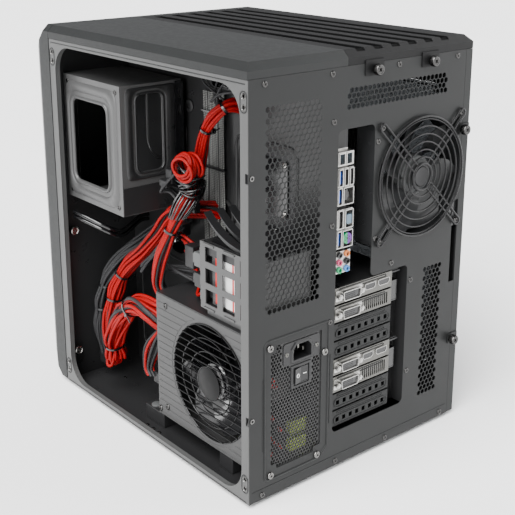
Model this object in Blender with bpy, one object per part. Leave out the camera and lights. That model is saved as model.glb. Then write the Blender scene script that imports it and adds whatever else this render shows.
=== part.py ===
"""Dual-chamber desktop computer tower, as an assembly of separate pieces.

Metres, +Z up. The rear face, with the connectors, looks along +Y and the front bezel along -Y.
The drive and power supply chamber is on the +X side, where the side panel is off;
the motherboard chamber is on the -X side, behind the windowed side panel.
"""
import math

import bmesh
import bpy
from mathutils import Matrix, Vector

# ---------------------------------------------------------------- driving dimensions
GAP = 0.0003                    # clearance between pieces that touch
STEEL = 0.001                   # sheet metal thickness

HALF_WIDTH = 0.159              # outer skin, both sides
REAR_Y = 0.2075                 # outer face of the rear panel
FRONT_Y = -0.2075               # front face of the bezel
BEZEL_SEAM_Y = -0.1605          # front end of the steel chassis
HEIGHT = 0.458
CHASSIS_BOTTOM = 0.005          # the feet hold the chassis this far up
CHASSIS_TOP = 0.4427
REAR_REACH = 0.010              # how far the thumbscrews stand out behind the rear panel

LEFT_WALL_X = -0.1572           # chassis wall under the left side panel
LEFT_SEAM_X = -0.1485           # where the panel's rear flange ends
TRAY_X = 0.0490                 # motherboard tray, face towards -X
TRAY_EDGE_X = TRAY_X + STEEL

FRAME_OPENING = (-0.148, 0.0115, 0.196, 0.4355)     # side frame opening: y0, z0, y1, z1
FRAME_CORNER = 0.030

FAN_SIZE = 0.140
FAN_DEPTH = 0.025
FAN_BORE = 0.0685
FAN_SCREW_PITCH = 0.1245
REAR_FAN = (-0.0815, 0.311)     # x, z
REAR_FAN_Y = 0.1795             # inner end of the rear fan
FRONT_FAN_X = -0.053
FRONT_FAN_Z = (0.150, 0.300)
FRONT_FAN_Y = -0.1590

BOARD_X = (0.0408, 0.0424)
SLOT_PITCH = 0.02032
SLOT_3_Z = 0.160                # centre height of the third expansion slot
BRACKET_Y = 0.2020

PSU_LOW = (0.0520, 0.0185, 0.0260)
PSU_HIGH = (0.1380, 0.2055, 0.1765)
PSU_WALL = 0.0015
PSU_FAN = (0.118, 0.1012)       # y, z
PSU_FAN_BORE = 0.064
INLET = (0.087, 0.157)          # x, z
SWITCH = (0.0875, 0.1295)       # x, z
SWITCH_TILT = 7.0               # degrees either side of level

CAGE_LOW = (0.0600, -0.1580, 0.2510)
CAGE_HIGH = (0.1430, -0.0350, 0.4010)
BAY_SPLIT_X = 0.1015

SSD_LOW = (0.0700, 0.1020, 0.1845)
SSD_HIGH = (0.1370, 0.2000, 0.2585)
SSD_PITCH = 0.0161
SSD_TRAY = 0.0130

TOP_SEAM_X = 0.0310
TOP_LOW = 0.4430
TOP_EDGE = 0.0075               # chamfer along the outer top edges
RIB_PITCH = 0.0254
GROOVE_WIDTH = 0.0120
FIRST_GROOVE_X = 0.0155         # +X edge of the first groove
GROOVES = 6
TOP_TABS_X = (-0.0050, -0.0890)
PANEL_TABS_Z = (0.3545, 0.1030)
PANEL_SCREW_X = -0.1465
TAB_HALF = 0.0130

IO_OPENING = ((0.0425, 0.0460), (0.0425, 0.3795), (-0.0095, 0.3795),
              (-0.0095, 0.2135), (-0.0675, 0.2135), (-0.0675, 0.0460))

# ---------------------------------------------------------------- materials
FINISHES = {
    "steel_dark": ((0.115, 0.122, 0.122), 0.42, 0.35),
    "plastic_dark": ((0.045, 0.047, 0.047), 0.50, 0.0),
    "plastic_black": ((0.012, 0.012, 0.013), 0.40, 0.0),
    "black_metal": ((0.020, 0.020, 0.021), 0.35, 0.6),
    "screw_metal": ((0.55, 0.54, 0.52), 0.28, 1.0),
    "psu_grey": ((0.20, 0.20, 0.20), 0.45, 0.4),
    "wire_black": ((0.030, 0.030, 0.030), 0.35, 0.8),
    "fan_grey": ((0.070, 0.072, 0.074), 0.45, 0.0),
    "board": ((0.018, 0.018, 0.020), 0.50, 0.0),
    "port_shell": ((0.55, 0.55, 0.53), 0.35, 0.9),
    "fin_metal": ((0.60, 0.60, 0.60), 0.35, 1.0),
    "window": ((0.30, 0.32, 0.33), 0.08, 0.0),
    "rubber": ((0.015, 0.015, 0.015), 0.75, 0.0),
    "cable_red": ((0.75, 0.025, 0.020), 0.55, 0.0),
    "cable_charcoal": ((0.040, 0.040, 0.042), 0.60, 0.0),
    "cable_black": ((0.010, 0.010, 0.010), 0.25, 0.0),
    "cable_grey": ((0.30, 0.31, 0.29), 0.65, 0.0),
}


def material(slot):
    """The material of a finish, made once."""
    found = bpy.data.materials.get(slot)
    if found:
        return found
    colour, roughness, metallic = FINISHES[slot]
    made = bpy.data.materials.new(slot)
    made.use_nodes = True
    shader = made.node_tree.nodes["Principled BSDF"]
    shader.inputs["Base Color"].default_value = (*colour, 1.0)
    shader.inputs["Roughness"].default_value = roughness
    shader.inputs["Metallic"].default_value = metallic
    made.diffuse_color = (*colour, 1.0)
    return made


# ---------------------------------------------------------------- outlines
def circle(cu, cv, radius, segments=32):
    step = math.tau / segments
    return [(cu + radius * math.cos(step * i), cv + radius * math.sin(step * i)) for i in range(segments)]


def rounded(points, radius, segments=4):
    """A polygon with each corner replaced by an arc."""
    outline = []
    count = len(points)
    for i in range(count):
        corner = Vector(points[i])
        before = (Vector(points[i - 1]) - corner).normalized()
        after = (Vector(points[(i + 1) % count]) - corner).normalized()
        half = before.angle(after) / 2
        centre = corner + (before + after).normalized() * (radius / math.sin(half))
        start = corner + before * (radius / math.tan(half)) - centre
        end = corner + after * (radius / math.tan(half)) - centre
        sweep = start.angle_signed(end)
        for k in range(segments + 1):
            turn = -sweep * k / segments
            cos, sin = math.cos(turn), math.sin(turn)
            outline.append((centre.x + start.x * cos - start.y * sin,
                            centre.y + start.x * sin + start.y * cos))
    return outline


def rectangle(u0, v0, u1, v1):
    return [(u0, v0), (u1, v0), (u1, v1), (u0, v1)]


def rounded_rectangle(u0, v0, u1, v1, radius, segments=4):
    return rounded(rectangle(u0, v0, u1, v1), radius, segments)


def is_anticlockwise(loop):
    area = 0.0
    for i, (u, v) in enumerate(loop):
        u2, v2 = loop[(i + 1) % len(loop)]
        area += u * v2 - u2 * v
    return area > 0


def offset(loop, distance):
    """The loop moved outwards by a distance, or inwards where it is negative."""
    sign = 1.0 if is_anticlockwise(loop) else -1.0
    moved = []
    count = len(loop)
    for i in range(count):
        here = Vector(loop[i])
        a = (here - Vector(loop[i - 1])).normalized()
        b = (Vector(loop[(i + 1) % count]) - here).normalized()
        normal = Vector((a.y + b.y, -a.x - b.x)) * sign
        normal.normalize()
        edge_normal = Vector((a.y, -a.x)) * sign
        moved.append(tuple(here + normal * (distance / max(normal.dot(edge_normal), 0.2))))
    return moved


def ring_sector(cu, cv, inner, outer, start, end, segments):
    """A slot bounded by two arcs, between two angles in radians."""
    angles = [start + (end - start) * i / segments for i in range(segments + 1)]
    out = [(cu + outer * math.cos(a), cv + outer * math.sin(a)) for a in angles]
    back = [(cu + inner * math.cos(a), cv + inner * math.sin(a)) for a in reversed(angles)]
    return out + back


# ---------------------------------------------------------------- solids
class Solid:
    """A closed mesh put together from loops, which lie in (u, v) at a height w.

    The plane's letter is the axis that w runs along: u and v are the other two, in X, Y, Z order.
    """

    ORDER = {"x": (2, 0, 1), "y": (0, 2, 1), "z": (0, 1, 2)}

    def __init__(self, plane):
        self.mesh = bmesh.new()
        self.order = self.ORDER[plane]

    def ring(self, loop, w):
        made = []
        for u, v in loop:
            uvw = (u, v, w)
            made.append(self.mesh.verts.new([uvw[i] for i in self.order]))
        return made

    def wall(self, lower, upper):
        count = len(lower)
        for i in range(count):
            j = (i + 1) % count
            self.mesh.faces.new((lower[i], lower[j], upper[j], upper[i]))

    def cap(self, *rings):
        """Fill the flat area between an outer ring and any rings inside it."""
        edges = []
        for ring in rings:
            for i, vert in enumerate(ring):
                pair = (vert, ring[(i + 1) % len(ring)])
                edges.append(self.mesh.edges.get(pair) or self.mesh.edges.new(pair))
        bmesh.ops.triangle_fill(self.mesh, use_beauty=True, edges=edges)

    def prism(self, loop, w0, w1):
        lower, upper = self.ring(loop, w0), self.ring(loop, w1)
        self.wall(lower, upper)
        self.cap(lower)
        self.cap(upper)

    def stack(self, levels):
        """Join (loop, w) levels by walls, and close both ends."""
        rings = [self.ring(loop, w) for loop, w in levels]
        for lower, upper in zip(rings, rings[1:]):
            self.wall(lower, upper)
        self.cap(rings[0])
        self.cap(rings[-1])

    def sheet(self, outline, holes, w0, w1, flange=0.0, lips=0.0):
        """A flat sheet from w0 to w1. Its edge and its holes can turn on past w1 by a depth."""
        away = 1.0 if w1 > w0 else -1.0
        lower, upper = [], []
        for index, loop in enumerate([outline, *holes]):
            turned = flange if index == 0 else lips
            low = self.ring(loop, w0)
            lower.append(low)
            if turned:
                inner = offset(loop, -STEEL if index == 0 else STEEL)
                rim, back = self.ring(loop, w1 + away * turned), self.ring(inner, w1 + away * turned)
                foot = self.ring(inner, w1)
                self.wall(low, rim)
                self.wall(rim, back)
                self.wall(back, foot)
                upper.append(foot)
            else:
                high = self.ring(loop, w1)
                self.wall(low, high)
                upper.append(high)
        self.cap(*lower)
        self.cap(*upper)


def add(name, solid, slot, pivot=(0, 0, 0), parent=None, smooth=False):
    """Turn a solid into a named object whose origin is its pivot."""
    bmesh.ops.recalc_face_normals(solid.mesh, faces=solid.mesh.faces)
    mesh = bpy.data.meshes.new(name)
    solid.mesh.to_mesh(mesh)
    solid.mesh.free()
    mesh.transform(Matrix.Translation(-Vector(pivot)))
    if smooth:
        mesh.shade_smooth()
        mesh.set_sharp_from_angle(angle=math.radians(35))
    obj = bpy.data.objects.new(name, mesh)
    bpy.context.scene.collection.objects.link(obj)
    mesh.materials.append(material(slot))
    holder = parent or ASSEMBLY
    obj.parent = holder
    obj["pivot"] = pivot
    obj.location = Vector(pivot) - Vector(holder.get("pivot", (0, 0, 0)))
    return obj


def block(name, low, high, slot, **options):
    solid = Solid("z")
    solid.prism(rectangle(low[0], low[1], high[0], high[1]), low[2], high[2])
    return add(name, solid, slot, **options)


def combine(obj, other, operation):
    """Cut one object with another, or join it to one. The other stays as a hidden guide."""
    other.hide_render = True
    other.display_type = "WIRE"
    modifier = obj.modifiers.new(other.name, "BOOLEAN")
    modifier.operation = operation
    modifier.solver = "EXACT"
    modifier.object = other


def cut_box(obj, name, low, high):
    combine(obj, block(name, low, high, "rubber"), "DIFFERENCE")


def cut_prism(obj, name, plane, loop, w0, w1):
    solid = Solid(plane)
    solid.prism(loop, w0, w1)
    combine(obj, add(name, solid, "rubber"), "DIFFERENCE")


def smooth_route(points, samples=5):
    """Points on a Catmull-Rom curve through a route."""
    route = [Vector(p) for p in points]
    ends = [route[0] * 2 - route[1], *route, route[-1] * 2 - route[-2]]
    out = []
    for i in range(1, len(ends) - 2):
        p0, p1, p2, p3 = ends[i - 1:i + 3]
        for k in range(samples):
            t = k / samples
            out.append(0.5 * (2 * p1 + (p2 - p0) * t + (2 * p0 - 5 * p1 + 4 * p2 - p3) * t ** 2
                              + (3 * p1 - p0 - 3 * p2 + p3) * t ** 3))
    out.append(route[-1])
    return out


def tube(name, route, radius, slot, samples=3):
    """A round cable or a tied bundle along a route."""
    points = smooth_route(route, samples)
    curve = bpy.data.curves.new(name, "CURVE")
    curve.dimensions = "3D"
    curve.bevel_depth = radius
    curve.bevel_resolution = 2
    curve.use_fill_caps = True
    curve.render_resolution_u = 0
    spline = curve.splines.new("POLY")
    spline.points.add(len(points) - 1)
    for point, place in zip(spline.points, points):
        point.co = (*place, 1.0)
    curve.materials.append(material(slot))
    obj = bpy.data.objects.new(name, curve)
    bpy.context.scene.collection.objects.link(obj)
    obj.parent = ASSEMBLY
    return obj


# ---------------------------------------------------------------- repeated pieces
def thumbscrew(name, x, z, parent):
    """A knurled head on a short shank, turning about Y."""
    solid = Solid("y")
    shank, neck, head = circle(x, z, 0.0019, 12), circle(x, z, 0.0040, 20), circle(x, z, 0.0058, 20)
    top = circle(x, z, 0.0050, 20)
    y = REAR_Y
    rings = [solid.ring(loop, w) for loop, w in
             ((neck, y + 0.0016), (neck, y + 0.0030), (head, y + 0.0032), (head, y + 0.0090), (top, y + 0.0100))]
    for lower, upper in zip(rings, rings[1:]):
        solid.wall(lower, upper)
    low, high = solid.ring(shank, y + 0.0004), solid.ring(shank, y + 0.0016)
    solid.wall(low, high)
    solid.cap(low)
    solid.cap(rings[0], high)
    solid.cap(rings[-1])
    return add(name, solid, "screw_metal", pivot=(x, y, z), parent=parent, smooth=True)


def fan_frame(name, plane, cu, cv, w0, size, depth, bore, slot):
    """A square fan frame; four struts at the w0 side carry the motor."""
    strut = 0.003
    half = size / 2
    outline = rounded_rectangle(cu - half, cv - half, cu + half, cv + half, 0.010, 3)
    slots = [ring_sector(cu, cv, 0.024, bore - 0.0006, a + 0.10, a + math.pi / 2 - 0.10, 8)
             for a in (0, math.pi / 2, math.pi, -math.pi / 2)]
    solid = Solid(plane)
    outer_low, outer_high = solid.ring(outline, w0), solid.ring(outline, w0 + depth)
    slots_low = [solid.ring(s, w0) for s in slots]
    slots_high = [solid.ring(s, w0 + strut) for s in slots]
    bore_low = solid.ring(circle(cu, cv, bore), w0 + strut)
    bore_high = solid.ring(circle(cu, cv, bore), w0 + depth)
    solid.wall(outer_low, outer_high)
    solid.wall(bore_low, bore_high)
    for low, high in zip(slots_low, slots_high):
        solid.wall(low, high)
    solid.cap(outer_low, *slots_low)
    solid.cap(bore_low, *slots_high)
    solid.cap(outer_high, bore_high)
    return add(name, solid, slot)


def fan_rotor(name, plane, cu, cv, w0, depth, hub, tip, blades, slot):
    """A hub with swept blades: one toothed outline, twisted along its axis."""
    sweep = 0.42
    pitch = math.tau / blades
    profile = []
    for i in range(blades):
        base = pitch * i
        for radius, lead in ((hub, -0.10), (0.6 * hub + 0.4 * tip, 0.12), (tip, sweep),
                             (tip, sweep + 0.055), (0.6 * hub + 0.4 * tip, 0.20), (hub, 0.04)):
            profile.append((radius, base + lead))
    solid = Solid(plane)
    levels = []
    for k in range(4):
        turn = 0.45 * k / 3
        levels.append(([(cu + r * math.cos(a + turn), cv + r * math.sin(a + turn)) for r, a in profile],
                       w0 + depth * k / 3))
    solid.stack(levels)
    pivot = {"x": (w0, cu, cv), "y": (cu, w0, cv), "z": (cu, cv, w0)}[plane]
    return add(name, solid, slot, pivot=pivot)


def round_guard(name, plane, cu, cv, w0, w1, radii, hub, slot, arms=None, segments=7):
    """A finger guard: flat rings on four arms, with an optional arm outline outside the rings."""
    solid = Solid(plane)
    width = 0.0022
    slots = []
    for inner, outer in zip(radii, radii[1:]):
        spread = 0.0035 / (inner + width)
        for quarter in range(4):
            a = math.pi / 4 + quarter * math.pi / 2
            slots.append(ring_sector(cu, cv, inner + width / 2, outer - width / 2,
                                     a + spread, a + math.pi / 2 - spread, segments))
    outline = arms or circle(cu, cv, radii[-1] + width / 2, 36)
    solid.sheet(outline, slots, w0, w1)
    return add(name, solid, slot)


# ---------------------------------------------------------------- chassis
def build_chassis():
    outer = rounded([(LEFT_SEAM_X + GAP, CHASSIS_BOTTOM), (0.1577, CHASSIS_BOTTOM), (0.1577, CHASSIS_TOP),
                     (LEFT_SEAM_X + GAP, CHASSIS_TOP), (LEFT_SEAM_X + GAP, 0.2735), (-0.1390, 0.2735),
                     (-0.1390, 0.1750), (LEFT_SEAM_X + GAP, 0.1750)], 0.0015, 1)
    psu_opening = rounded([(0.0700, 0.0340), (0.1215, 0.0340), (0.1215, 0.0400), (0.1290, 0.0400),
                           (0.1290, 0.1640), (0.1220, 0.1640), (0.1220, 0.1720), (0.0602, 0.1720),
                           (0.0602, 0.0400), (0.0700, 0.0400)], 0.0012, 1)
    rear = Solid("y")
    rear.sheet(outer, [rounded(IO_OPENING, 0.006, 3), psu_opening, circle(*REAR_FAN, 0.0655)],
               REAR_Y, REAR_Y - STEEL)
    add("rear_panel", rear, "steel_dark")

    opening = rounded_rectangle(*FRAME_OPENING, FRAME_CORNER, 6)
    right = Solid("x")
    right.sheet(rectangle(BEZEL_SEAM_Y, CHASSIS_BOTTOM, REAR_Y, CHASSIS_TOP), [opening],
                HALF_WIDTH, HALF_WIDTH - STEEL, lips=0.006)
    add("side_frame_right", right, "steel_dark")

    left = Solid("x")
    left.sheet(rectangle(BEZEL_SEAM_Y + 0.0013, 0.0067, REAR_Y - 0.0013, 0.4412), [opening],
               LEFT_WALL_X, LEFT_WALL_X + STEEL, flange=0.0075)
    add("side_frame_left", left, "steel_dark")

    pan = rectangle(LEFT_SEAM_X + 0.0005, BEZEL_SEAM_Y + STEEL + GAP, 0.1577, REAR_Y - STEEL - GAP)
    floor = Solid("z")
    floor.sheet(pan, [], CHASSIS_BOTTOM, CHASSIS_BOTTOM + STEEL)
    add("floor_pan", floor, "steel_dark")

    roof = Solid("z")
    roof.sheet(pan, [circle(FRONT_FAN_X, y, 0.064, 24) for y in (-0.080, 0.070)],
               CHASSIS_TOP - STEEL, CHASSIS_TOP)
    add("roof_pan", roof, "steel_dark")

    front = Solid("y")
    bay = rectangle(CAGE_LOW[0] + 0.0015, CAGE_LOW[2] + 0.0015, CAGE_HIGH[0] - 0.0015, CAGE_HIGH[2] - 0.0015)
    holes = [circle(FRONT_FAN_X, z, 0.066, 24) for z in FRONT_FAN_Z] + [bay]
    front.sheet(rectangle(LEFT_SEAM_X + 0.0005, CHASSIS_BOTTOM, 0.1577, CHASSIS_TOP), holes,
                BEZEL_SEAM_Y, BEZEL_SEAM_Y + STEEL)
    add("front_plate", front, "steel_dark")

    tray = Solid("x")
    holes = [rounded_rectangle(0.010, 0.398, 0.100, 0.422, 0.006, 2),
             rounded_rectangle(0.060, 0.255, 0.150, 0.345, 0.008, 2),
             rounded_rectangle(-0.075, 0.180, -0.048, 0.340, 0.008, 2),
             circle(0.075, 0.380, 0.012, 16)]
    tray.sheet(rectangle(BEZEL_SEAM_Y + STEEL + GAP, CHASSIS_BOTTOM + STEEL + GAP,
                         REAR_Y - STEEL - GAP, CHASSIS_TOP - STEEL - GAP), holes, TRAY_X, TRAY_EDGE_X)
    add("motherboard_tray", tray, "steel_dark")

    for index, (side, y0, y1) in enumerate(((1, -0.149, -0.088), (1, 0.133, 0.191),
                                            (-1, -0.149, -0.088), (-1, 0.133, 0.191)), 1):
        x0, x1 = sorted((side * 0.120, side * 0.156))
        foot = Solid("z")
        foot.stack([(rectangle(x0 + 0.003, y0 + 0.005, x1 - 0.003, y1 - 0.005), 0.0),
                    (rectangle(x0 + 0.003, y0 + 0.005, x1 - 0.003, y1 - 0.005), 0.0010),
                    (rectangle(x0, y0, x1, y1), 0.0040),
                    (rectangle(x0, y0, x1, y1), CHASSIS_BOTTOM - GAP)])
        add(f"foot_{index}", foot, "rubber")


# ---------------------------------------------------------------- left side panel
def build_side_panel():
    hinge = (-HALF_WIDTH, BEZEL_SEAM_Y, 0.2235)
    window = rounded_rectangle(-0.128, 0.052, 0.168, 0.398, 0.012, 4)
    skin = Solid("x")
    skin.sheet(rectangle(BEZEL_SEAM_Y, 0.0055, REAR_Y, 0.4425), [window],
               -HALF_WIDTH, -HALF_WIDTH + STEEL, flange=0.0095)
    panel = add("side_panel", skin, "steel_dark", pivot=hinge)
    cut_box(panel, "cut_panel_front_flange", (-0.1579, BEZEL_SEAM_Y - 0.001, 0.0), (-0.140, -0.1580, 0.450))

    for index, z in enumerate(PANEL_TABS_Z, 1):
        tab = Solid("z")
        tab.prism([(-0.1583, REAR_Y - 0.0006), (LEFT_SEAM_X - 0.0003, REAR_Y - 0.0006),
                   (LEFT_SEAM_X - 0.0003, REAR_Y + GAP), (-0.1425, REAR_Y + GAP),
                   (-0.1425, REAR_Y + 0.0013), (-0.1583, REAR_Y + 0.0013)], z - 0.0060, z + 0.0060)
        combine(panel, add(f"join_panel_tab_{index}", tab, "rubber"), "UNION")
        cut_prism(panel, f"cut_panel_tab_{index}", "y", circle(PANEL_SCREW_X, z, 0.0023, 12),
                  REAR_Y + 0.0001, REAR_Y + 0.003)
        thumbscrew(f"panel_thumbscrew_{index}", PANEL_SCREW_X, z, panel)

    pane = Solid("x")
    pane.prism(offset(window, -GAP), -HALF_WIDTH + 0.0001, -HALF_WIDTH + 0.0015)
    add("side_window", pane, "window", parent=panel)


# ---------------------------------------------------------------- top
def top_shell(x0, x1, chamfers):
    """Loops of a top cover shell, from its ceiling out over its skin. Chamfers are x0, x1 in order."""
    wall = 0.0022
    front, rear = BEZEL_SEAM_Y + GAP, REAR_Y
    knee = HEIGHT - TOP_EDGE

    def loop(inset, slope):
        return rectangle(x0 + inset + chamfers[0] * slope, front + inset,
                         x1 - inset - chamfers[1] * slope, rear - inset - slope)

    return [(loop(wall, TOP_EDGE), HEIGHT - wall), (loop(wall, 0.001), knee - 0.001),
            (loop(wall, 0.0), TOP_LOW),
            (loop(0.0, 0.0), TOP_LOW), (loop(0.0, 0.0), knee), (loop(0.0, TOP_EDGE), HEIGHT)]


def build_top():
    flat = Solid("z")
    flat.stack(top_shell(TOP_SEAM_X + GAP, HALF_WIDTH, (0, 1)))
    add("top_cover", flat, "plastic_dark")

    ribbed = Solid("z")
    ribbed.stack(top_shell(-HALF_WIDTH, TOP_SEAM_X, (1, 0)))
    grille = add("top_grille", ribbed, "plastic_dark")
    for n in range(GROOVES):
        x = FIRST_GROOVE_X - n * RIB_PITCH
        cut_box(grille, f"cut_top_groove_{n + 1}", (x - GROOVE_WIDTH, -0.1520, TOP_LOW + 0.002),
                (x, REAR_Y - 0.0045, HEIGHT + 0.002))
    for index, x in enumerate(TOP_TABS_X, 1):
        tab = Solid("x")
        tab.prism([(REAR_Y - 0.0012, 0.4436), (REAR_Y + GAP, 0.4436), (REAR_Y + GAP, 0.4310),
                   (REAR_Y + 0.0013, 0.4300), (REAR_Y + 0.0013, 0.4460), (REAR_Y - 0.0012, 0.4460)],
                  x - TAB_HALF, x + TAB_HALF)
        combine(grille, add(f"join_top_tab_{index}", tab, "rubber"), "UNION")
        cut_prism(grille, f"cut_top_tab_{index}", "y", circle(x, 0.4363, 0.0023, 12),
                  REAR_Y + 0.0001, REAR_Y + 0.003)
        thumbscrew(f"top_thumbscrew_{index}", x, 0.4363, grille)


# ---------------------------------------------------------------- front
def octagon(x, z0, z1, cut_top, cut_bottom):
    return [(-x + cut_bottom, z0), (x - cut_bottom, z0), (x, z0 + cut_bottom), (x, z1 - cut_top),
            (x - cut_top, z1), (-x + cut_top, z1), (-x, z1 - cut_top), (-x, z0 + cut_bottom)]


def build_front():
    back = BEZEL_SEAM_Y - GAP
    wall = 0.0028
    shell = Solid("y")
    shell.stack([
        (octagon(0.1440, 0.0270, 0.4310, 0.006, 0.004), FRONT_Y + wall),
        (octagon(HALF_WIDTH - wall, 0.0150, 0.4440, 0.007, 0.003), -0.1815),
        (octagon(HALF_WIDTH - wall, 0.0075, HEIGHT - wall, 0.006, 0.002), -0.1730),
        (octagon(HALF_WIDTH - wall, 0.0075, HEIGHT - wall, 0.006, 0.002), back),
        (octagon(HALF_WIDTH, 0.0045, HEIGHT, TOP_EDGE, 0.002), back),
        (octagon(HALF_WIDTH, 0.0045, HEIGHT, TOP_EDGE, 0.002), -0.1730),
        (octagon(HALF_WIDTH, 0.0120, 0.4470, TOP_EDGE, 0.004), -0.1830),
        (octagon(0.1475, 0.0230, 0.4350, 0.007, 0.005), FRONT_Y)])
    bezel = add("front_bezel", shell, "plastic_dark")
    deep = (FRONT_Y - 0.002, FRONT_Y + 0.006)
    grille_box = (-0.1370, 0.0340, 0.0400, 0.4240)
    cut_box(bezel, "cut_grille", (grille_box[0], deep[0], grille_box[1]),
            (grille_box[2], deep[1], grille_box[3]))
    cut_box(bezel, "cut_bays", (CAGE_LOW[0] - 0.0005, deep[0], CAGE_LOW[2]),
            (CAGE_HIGH[0] + 0.0005, deep[1], CAGE_HIGH[2]))
    ports = (0.0905, 0.0600, 0.1125, 0.1700)
    cut_box(bezel, "cut_ports", (ports[0] - GAP, deep[0], ports[1] - GAP),
            (ports[2] + GAP, deep[1], ports[3] + GAP))

    slots = []
    for n in range(GROOVES):
        x = FIRST_GROOVE_X - n * RIB_PITCH
        slots.append(rectangle(x - GROOVE_WIDTH, 0.0460, x, 0.4120))
    grille = Solid("y")
    u0, v0, u1, v1 = grille_box
    grille.sheet(rectangle(u0 + GAP, v0 + GAP, u1 - GAP, v1 - GAP), slots, FRONT_Y + 0.0002, FRONT_Y + 0.0100)
    add("front_grille", grille, "plastic_dark")

    spans = ((CAGE_LOW[0], BAY_SPLIT_X - GAP), (BAY_SPLIT_X + GAP, CAGE_HIGH[0]))
    for index, (x0, x1) in enumerate(spans, 1):
        cover = Solid("y")
        edge = 0.0008
        z0, z1 = CAGE_LOW[2] + GAP, CAGE_HIGH[2] - GAP
        cover.stack([(rectangle(x0 + edge, z0 + edge, x1 - edge, z1 - edge), FRONT_Y),
                     (rectangle(x0, z0, x1, z1), FRONT_Y + edge),
                     (rectangle(x0, z0, x1, z1), FRONT_Y + 0.0055)])
        add(f"bay_cover_{index}", cover, "plastic_dark")

    for name, z, radius in (("power_button", 0.2150, 0.0080), ("reset_button", 0.1895, 0.0045)):
        x = BAY_SPLIT_X
        cut_prism(bezel, f"cut_{name}", "y", circle(x, z, radius + 0.0005, 20), deep[0], deep[1])
        cap = Solid("y")
        cap.stack([(circle(x, z, radius - 0.0010, 20), FRONT_Y + 0.0001),
                   (circle(x, z, radius, 20), FRONT_Y + 0.0008),
                   (circle(x, z, radius, 20), FRONT_Y + 0.0065)])
        add(name, cap, "plastic_black", pivot=(x, FRONT_Y, z), smooth=True)

    panel = Solid("y")
    sockets = [rectangle(0.0950, z, 0.1080, z + 0.0058) for z in (0.1500, 0.1330)]
    sockets += [circle(0.1015, z, 0.0024, 10) for z in (0.1120, 0.0950)]
    panel.sheet(rectangle(*ports), sockets, FRONT_Y + 0.0004, FRONT_Y + 0.0090)
    add("port_panel", panel, "plastic_black")


# ---------------------------------------------------------------- fans
def build_fans():
    x, z = REAR_FAN
    fan_frame("rear_fan_frame", "y", x, z, REAR_FAN_Y, FAN_SIZE, FAN_DEPTH, FAN_BORE, "fan_grey")
    fan_rotor("rear_fan_rotor", "y", x, z, REAR_FAN_Y + 0.0045, 0.0190, 0.022, 0.0665, 7, "fan_grey")

    arm_end = FAN_SCREW_PITCH / math.sqrt(2)
    arm_half = 0.0045
    ring = 0.0672
    outline = []
    for quarter in range(4):
        a = math.pi / 4 + quarter * math.pi / 2
        spread = math.asin(arm_half / ring)
        along, across = Vector((math.cos(a), math.sin(a))), Vector((-math.sin(a), math.cos(a)))
        tip = Vector((x, z)) + along * (arm_end - 0.0012)
        for k in range(7):
            turn = -math.pi / 2 + math.pi * k / 6
            outline.append(tuple(tip + (along * math.cos(turn) + across * math.sin(turn)) * arm_half))
        for k in range(9):
            b = a + spread + (math.pi / 2 - 2 * spread) * k / 8
            outline.append((x + ring * math.cos(b), z + ring * math.sin(b)))
    round_guard("rear_fan_guard", "y", x, z, REAR_Y + GAP, REAR_Y + 0.0020,
                (0.0135, 0.0265, 0.0400, 0.0535, 0.0664), 0.0135, "wire_black", arms=outline)

    for index, z in enumerate(FRONT_FAN_Z, 1):
        fan_frame(f"front_fan_{index}_frame", "y", FRONT_FAN_X, z, FRONT_FAN_Y, FAN_SIZE, FAN_DEPTH, FAN_BORE,
                  "fan_grey")
        fan_rotor(f"front_fan_{index}_rotor", "y", FRONT_FAN_X, z, FRONT_FAN_Y + 0.0045, 0.0190, 0.022,
                  0.0665, 7, "fan_grey")


# ---------------------------------------------------------------- motherboard and cards
def slot_z(number):
    return SLOT_3_Z + (3 - number) * SLOT_PITCH


def build_board():
    block("motherboard", (BOARD_X[0], -0.0400, 0.0750), (BOARD_X[1], 0.2040, 0.3795), "board")

    ports = Solid("x")
    ports.prism([(0.1760, 0.2260), (0.2060, 0.2260), (0.2060, 0.3770), (0.1850, 0.3770), (0.1850, 0.3400),
                 (0.1760, 0.3400)], 0.0185, BOARD_X[0] - GAP)
    add("io_ports", ports, "port_shell")

    heatsink = block("cooler_heatsink", (-0.1080, 0.0790, 0.2400), (BOARD_X[0] - GAP, 0.1290, 0.3620),
                     "fin_metal")
    cut_box(heatsink, "cut_under_fins", (-0.0050, 0.0700, 0.2300), (0.0280, 0.0860, 0.3700))
    for n in range(5):
        x = -0.1000 + 0.0170 * n
        cut_box(heatsink, f"cut_fin_gap_{n + 1}", (x, 0.0700, 0.2500), (x + 0.0070, 0.1400, 0.3700))
    fan_frame("cooler_fan_frame", "y", -0.0480, 0.3010, 0.0530, 0.120, 0.025, 0.0580, "fan_grey")
    fan_rotor("cooler_fan_rotor", "y", -0.0480, 0.3010, 0.0575, 0.0190, 0.020, 0.0560, 7, "fan_grey")

    for index, first in enumerate((1, 5), 1):
        high = slot_z(first) + 0.0092
        low = slot_z(first + 1) - 0.0092
        card = Solid("z")
        body = [(-0.0640, -0.0600), (0.0380, -0.0600), (0.0380, BRACKET_Y),
                (0.0405, BRACKET_Y), (0.0405, BRACKET_Y + STEEL), (-0.0640, BRACKET_Y + STEEL)]
        card.prism(rounded(body, 0.0004, 1), low, high)
        add(f"graphics_card_{index}", card, "board")
        low = slot_z(first + 3) - 0.0092
        high = slot_z(first + 2) + 0.0092
        covers = Solid("y")
        holes = [rectangle(-0.0480 + 0.0098 * n, slot_z(s) - 0.0030, -0.0420 + 0.0098 * n, slot_z(s) + 0.0030)
                 for s in (first + 2, first + 3) for n in range(8)]
        covers.sheet(rectangle(-0.0640, low, 0.0405, high), holes, BRACKET_Y + STEEL, BRACKET_Y)
        add(f"slot_covers_{index}", covers, "black_metal")


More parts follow.
